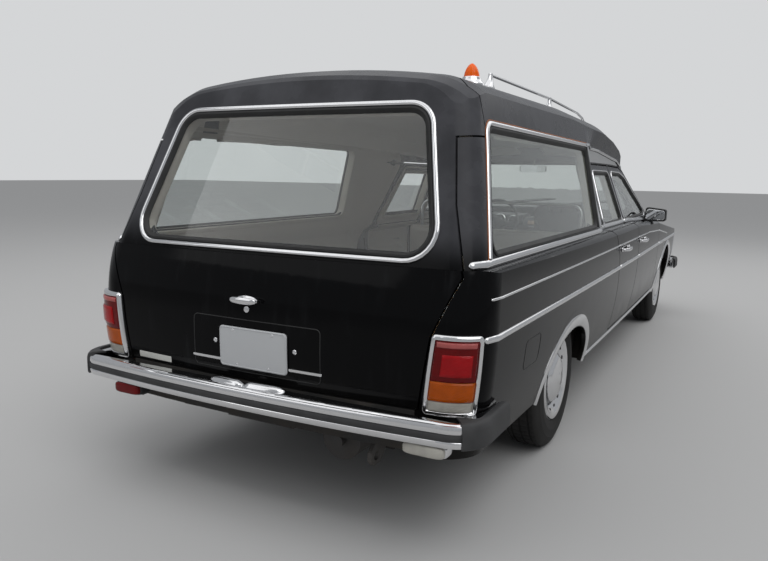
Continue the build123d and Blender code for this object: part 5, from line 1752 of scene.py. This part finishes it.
def sun_visors():
    """Padded plates under the roof's front edge, thinned to their rims."""
    u, w = grid((0, 1, 30), (0, 1, 16))
    thick = 0.007 * smooth(np.minimum(np.minimum(u, 1 - u) * 0.40, np.minimum(w, 1 - w) * 0.15), 0, 0.012)
    y = 0.090 + 0.400 * u
    x = 3.375 - 0.085 * y**2 / 0.16 - 0.150 * w
    z = roof_point(3.36, 0.48 * u + 0.1, 0.058)[..., 2] - 0.034 + 0.055 * w
    for word, side in SIDES.items():
        shell(f"sun_visor_{word}", xyz(x, side * y, z + thick), xyz(x, side * y, z - thick), TRIM)


# Windscreen and front
def wiper(k, y0, y1):
    """A wiper lying along the foot of the windscreen: blade, its frame, the arched arm and the pivot."""
    a, b = np.linspace(0, 1, 24), np.linspace(0, 1, 18)
    path = np.stack([y0 + (y1 - y0) * a, 1.020 + 0.055 * a], -1)
    p, _, n = surface_frames(screen_point, path, toward=(1, 0, 0))
    tube(f"wiper_blade_{k}", p - n * 0.004, 0.0045, GASKET, flat=1.4)
    back = p + n * (0.006 + 0.004 * np.sin(math.pi * a))[:, None]
    tube(f"wiper_frame_{k}", back[2:-2], 0.0026, SATIN_BLACK, sides=8)
    foot = np.array([4.168, y0 - 0.03, 0.962])
    arm = foot + (p[11] + n[11] * 0.012 - foot) * b[:, None] + xyz(0, 0, 0.014 * np.sin(math.pi * b))
    tube(f"wiper_arm_{k}", arm, 0.0060 - 0.0030 * b, SATIN_BLACK, flat=0.6)
    pod(f"wiper_pivot_{k}", (4.170, y0 - 0.03, 0.958), (0.028, 0.028, 0.022), SATIN_BLACK, 2.6)


def windscreen_pieces():
    """Rubber, bright frame and wipers of the windscreen, and the scuttle's grille, whose bars a sine
    across makes."""
    window_gasket("windscreen_rubber", SCREEN_GLASS, SCREEN_GLASS_R, screen_point, depth=0.020)
    window_frame("windscreen_frame", SCREEN_GLASS, SCREEN_GLASS_R, screen_point, 0.014, 0.008, 0.013)
    for k, (y0, y1) in enumerate(((0.480, -0.020), (-0.060, -0.560))):
        wiper(k, y0, y1)
    x0, x1 = 4.146, 4.208
    x, y = grid((x0, x1, 9), (-0.400, 0.400, 241))
    top = np.interp(x, [4.130, 4.216], [0.955, 0.948]) + 0.0012
    bars = smooth(np.abs(np.sin(math.pi * y / 0.020)), 0.35, 0.75)
    bars = bars * smooth(np.minimum(x - x0, x1 - x), 0.004, 0.009)
    shell("scuttle_grille", xyz(x, y, top + 0.0022 * bars), xyz(x, y, top - 0.003), BLACK_PLASTIC, sharp=60)


def front_lamp(word, side):
    """Upright lamp unit round a front corner: chrome frame, dished bowl behind a clear lens, and an
    amber side lens with flutes on its back."""
    z0, z1 = 0.503, 0.739

    def at(u, z, out=0.0):
        return around_corner("front", 0.615 + 0.300 * u, z, side, out)

    path = dense(rounded_box(0.0, 1.0, z0, z1, 0.045, 0.014), 0.02)
    profile = [
        (0.000, -0.004), (0.000, 0.002), (-0.003, 0.0045),
        (-0.010, 0.0045), (-0.013, 0.001), (-0.013, -0.004),
    ]
    replaced = ("headlamps",) if side > 0 else ()
    bead(f"front_lamp_frame_{word}", at, path, profile, CHROME, replaced=replaced, slot="bright_metal")
    low, high = z0 + 0.013, z1 - 0.013
    for label, u0, u1, flute, material in (
        ("lens", 0.045, 0.655, 0.0, CLEAR_GLASS), ("indicator", 0.665, 0.955, 0.0012, AMBER_LENS),
    ):
        u, z = grid((u0, u1, 33), (low, high, 21))
        edge = np.minimum(np.minimum(u - u0, u1 - u) * 0.30, np.minimum(z - low, high - z))
        front = 0.0035 - 0.006 * np.clip(1 - edge / 0.010, 0, 1) ** 2
        back = flute * np.cos(44 * math.pi * u) - 0.006
        shell(f"front_lamp_{label}_{word}", at(u, z, front), at(u, z, back), material)
    t, centre_u, centre_z = lap(64), 0.350, (z0 + z1) / 2
    flat_x = at(centre_u, centre_z)[0]
    rings = []
    for share, depth in ((0.16, 0.072), (0.35, 0.066), (0.60, 0.048), (0.85, 0.026), (1.0, 0.012)):
        ring = at(centre_u + 0.088 / 0.30 * share * np.cos(t), centre_z + 0.098 * share * np.sin(t))
        ring[:, 0] = flat_x - depth
        rings.append(ring)
    square = np.maximum(np.abs(np.cos(t)), np.abs(np.sin(t)))
    rim = at(centre_u + 0.315 * np.cos(t) / square, centre_z + 0.106 * np.sin(t) / square)
    rings += [rim - [0.020, 0, 0], rim - [0.010, 0, 0]]
    faces = grid_faces(len(rings), len(t), False, True).tolist() + [list(range(len(t)))]
    put_mesh(f"front_lamp_bowl_{word}", rings, faces, CHROME, sharp=40, turn=False)
    x, y, _ = rings[0].mean(0)
    pod(f"front_lamp_bulb_{word}", (x + 0.020, y, centre_z), (0.050, 0.024, 0.024), CLEAR_LENS, 2.2)


def grille_bars():
    """Fine upright bars behind the slats, each a narrow prism with a rounded nose, in one mesh, and a
    dark net behind."""
    y = np.linspace(-0.252, 0.252, 43)
    y = y[np.abs(y) > 0.012]
    x, across = np.array([
        (5.358, -0.0022), (5.369, -0.0022), (5.3712, -0.0012),
        (5.3712, 0.0012), (5.369, 0.0022), (5.358, 0.0022),
    ]).T[:, :, None]
    bars = xyz(x, y[:, None, None] + across, np.array([0.530, 0.736]))
    here = 2 * np.arange(6)
    after = np.roll(here, -1)
    one = np.stack([here, after, after + 1, here + 1], -1).tolist() + [here.tolist(), (here + 1).tolist()]
    faces = [[i + 12 * k for i in face] for k in range(len(y)) for face in one]
    put_mesh("grille_bars", bars, faces, STEEL)
    y, z = grid((-0.268, 0.268, 60), (0.520, 0.742, 30))
    net = xyz(5.350 + 0.0015 * np.cos(900 * y) * np.cos(900 * z), y, z)
    shell("grille_net", net, net - [0.003, 0, 0], BLACK_PLASTIC)


seats()
steering_wheel_pieces()
dashboard_pieces()
gear_lever()
inner_mirror()
sun_visors()
windscreen_pieces()
for word, side in SIDES.items():
    front_lamp(word, side)
grille_bars()


# Studio
BACKDROP = (0.66, 0.67, 0.68)


def backdrop(world):
    """Even grey-white light, with a plain paler tone where camera or glass rays meet the background."""
    tree = world.node_tree
    room = tree.nodes["Background"]
    room.inputs["Color"].default_value = (0.90, 0.93, 0.97, 1)
    room.inputs["Strength"].default_value = 0.42
    seen = tree.nodes.new("ShaderNodeBackground")
    seen.inputs["Color"].default_value = (*BACKDROP, 1)
    path = tree.nodes.new("ShaderNodeLightPath")
    direct = math_node(tree, "MAXIMUM", path.outputs["Is Camera Ray"], path.outputs["Is Transmission Ray"])
    mix = tree.nodes.new("ShaderNodeMixShader")
    tree.links.new(direct, mix.inputs["Fac"])
    tree.links.new(room.outputs[0], mix.inputs[1])
    tree.links.new(seen.outputs[0], mix.inputs[2])
    tree.links.new(mix.outputs[0], tree.nodes["World Output"].inputs["Surface"])


def studio():
    """Pale floor, an even world, and soft lamps over and behind the camera."""
    size = 60.0
    floor = bpy.data.meshes.new("floor")
    floor.from_pydata([(x, y, 0) for x, y in box(-size, size, -size, size)], [], [(0, 1, 2, 3)])
    floor_object = bpy.data.objects.new("floor", floor)
    bpy.context.scene.collection.objects.link(floor_object)
    floor.materials.append(Finish("pale_floor", (0.45, 0.447, 0.443), 0.8, Specular_IOR_Level=0.0).material)

    world = bpy.data.worlds.new("soft_room")
    bpy.context.scene.world = world
    world.use_nodes = True
    backdrop(world)

    sun = bpy.data.lights.new("soft_sun", "SUN")
    sun.energy, sun.angle = 0.9, math.radians(50)
    lamps = [(sun, (-4.0, -6.0, 9.0), (0, 0, 0))]
    for name, place, target, width, watts in (
        ("sky", (0.0, 0.0, 8.0), (0, 0, 0), 14.0, 460),
        ("fill", (-8.0, 4.0, 5.0), (-1.0, 0, 0.9), 5.0, 60),
        ("front", (7.0, -3.0, 6.0), (1.5, 0, 0.8), 5.0, 60),
    ):
        lamp = bpy.data.lights.new(name, "AREA")
        lamp.size, lamp.energy = width, watts
        lamps.append((lamp, place, target))
    for lamp, place, target in lamps:
        lamp_object = bpy.data.objects.new(lamp.name, lamp)
        bpy.context.scene.collection.objects.link(lamp_object)
        lamp_object.rotation_mode = "QUATERNION"
        lamp_object.rotation_quaternion = (Vector(place) - Vector(target)).to_track_quat("Z", "Y")
        lamp_object.location = place


def camera():
    """The photograph's view: place, yaw, pitch and roll from a fit of the car's own corners."""
    place = Vector((-1.99737 - MID, -1.60235, 1.27400))
    yaw, pitch, roll = (math.radians(a) for a in (28.1110, -8.7105, 0.8802))
    focal_px, width_px = 707.92, 768
    ahead = Vector((math.cos(yaw) * math.cos(pitch), math.sin(yaw) * math.cos(pitch), math.sin(pitch)))
    right = ahead.cross(Vector((0, 0, 1))).normalized()
    up = right.cross(ahead)
    right, up = right * math.cos(roll) + up * math.sin(roll), up * math.cos(roll) - right * math.sin(roll)
    data = bpy.data.cameras.new("photo_view")
    data.sensor_width = 36.0
    data.lens = focal_px / width_px * data.sensor_width
    data.clip_start, data.clip_end = 0.05, 300
    made = bpy.data.objects.new("photo_view", data)
    bpy.context.scene.collection.objects.link(made)
    turned = Matrix((right, up, -ahead)).transposed().to_4x4()
    turned.translation = place
    made.matrix_world = turned
    bpy.context.scene.camera = made


studio()
camera()
scene = bpy.context.scene
scene.view_settings.view_transform = "Standard"
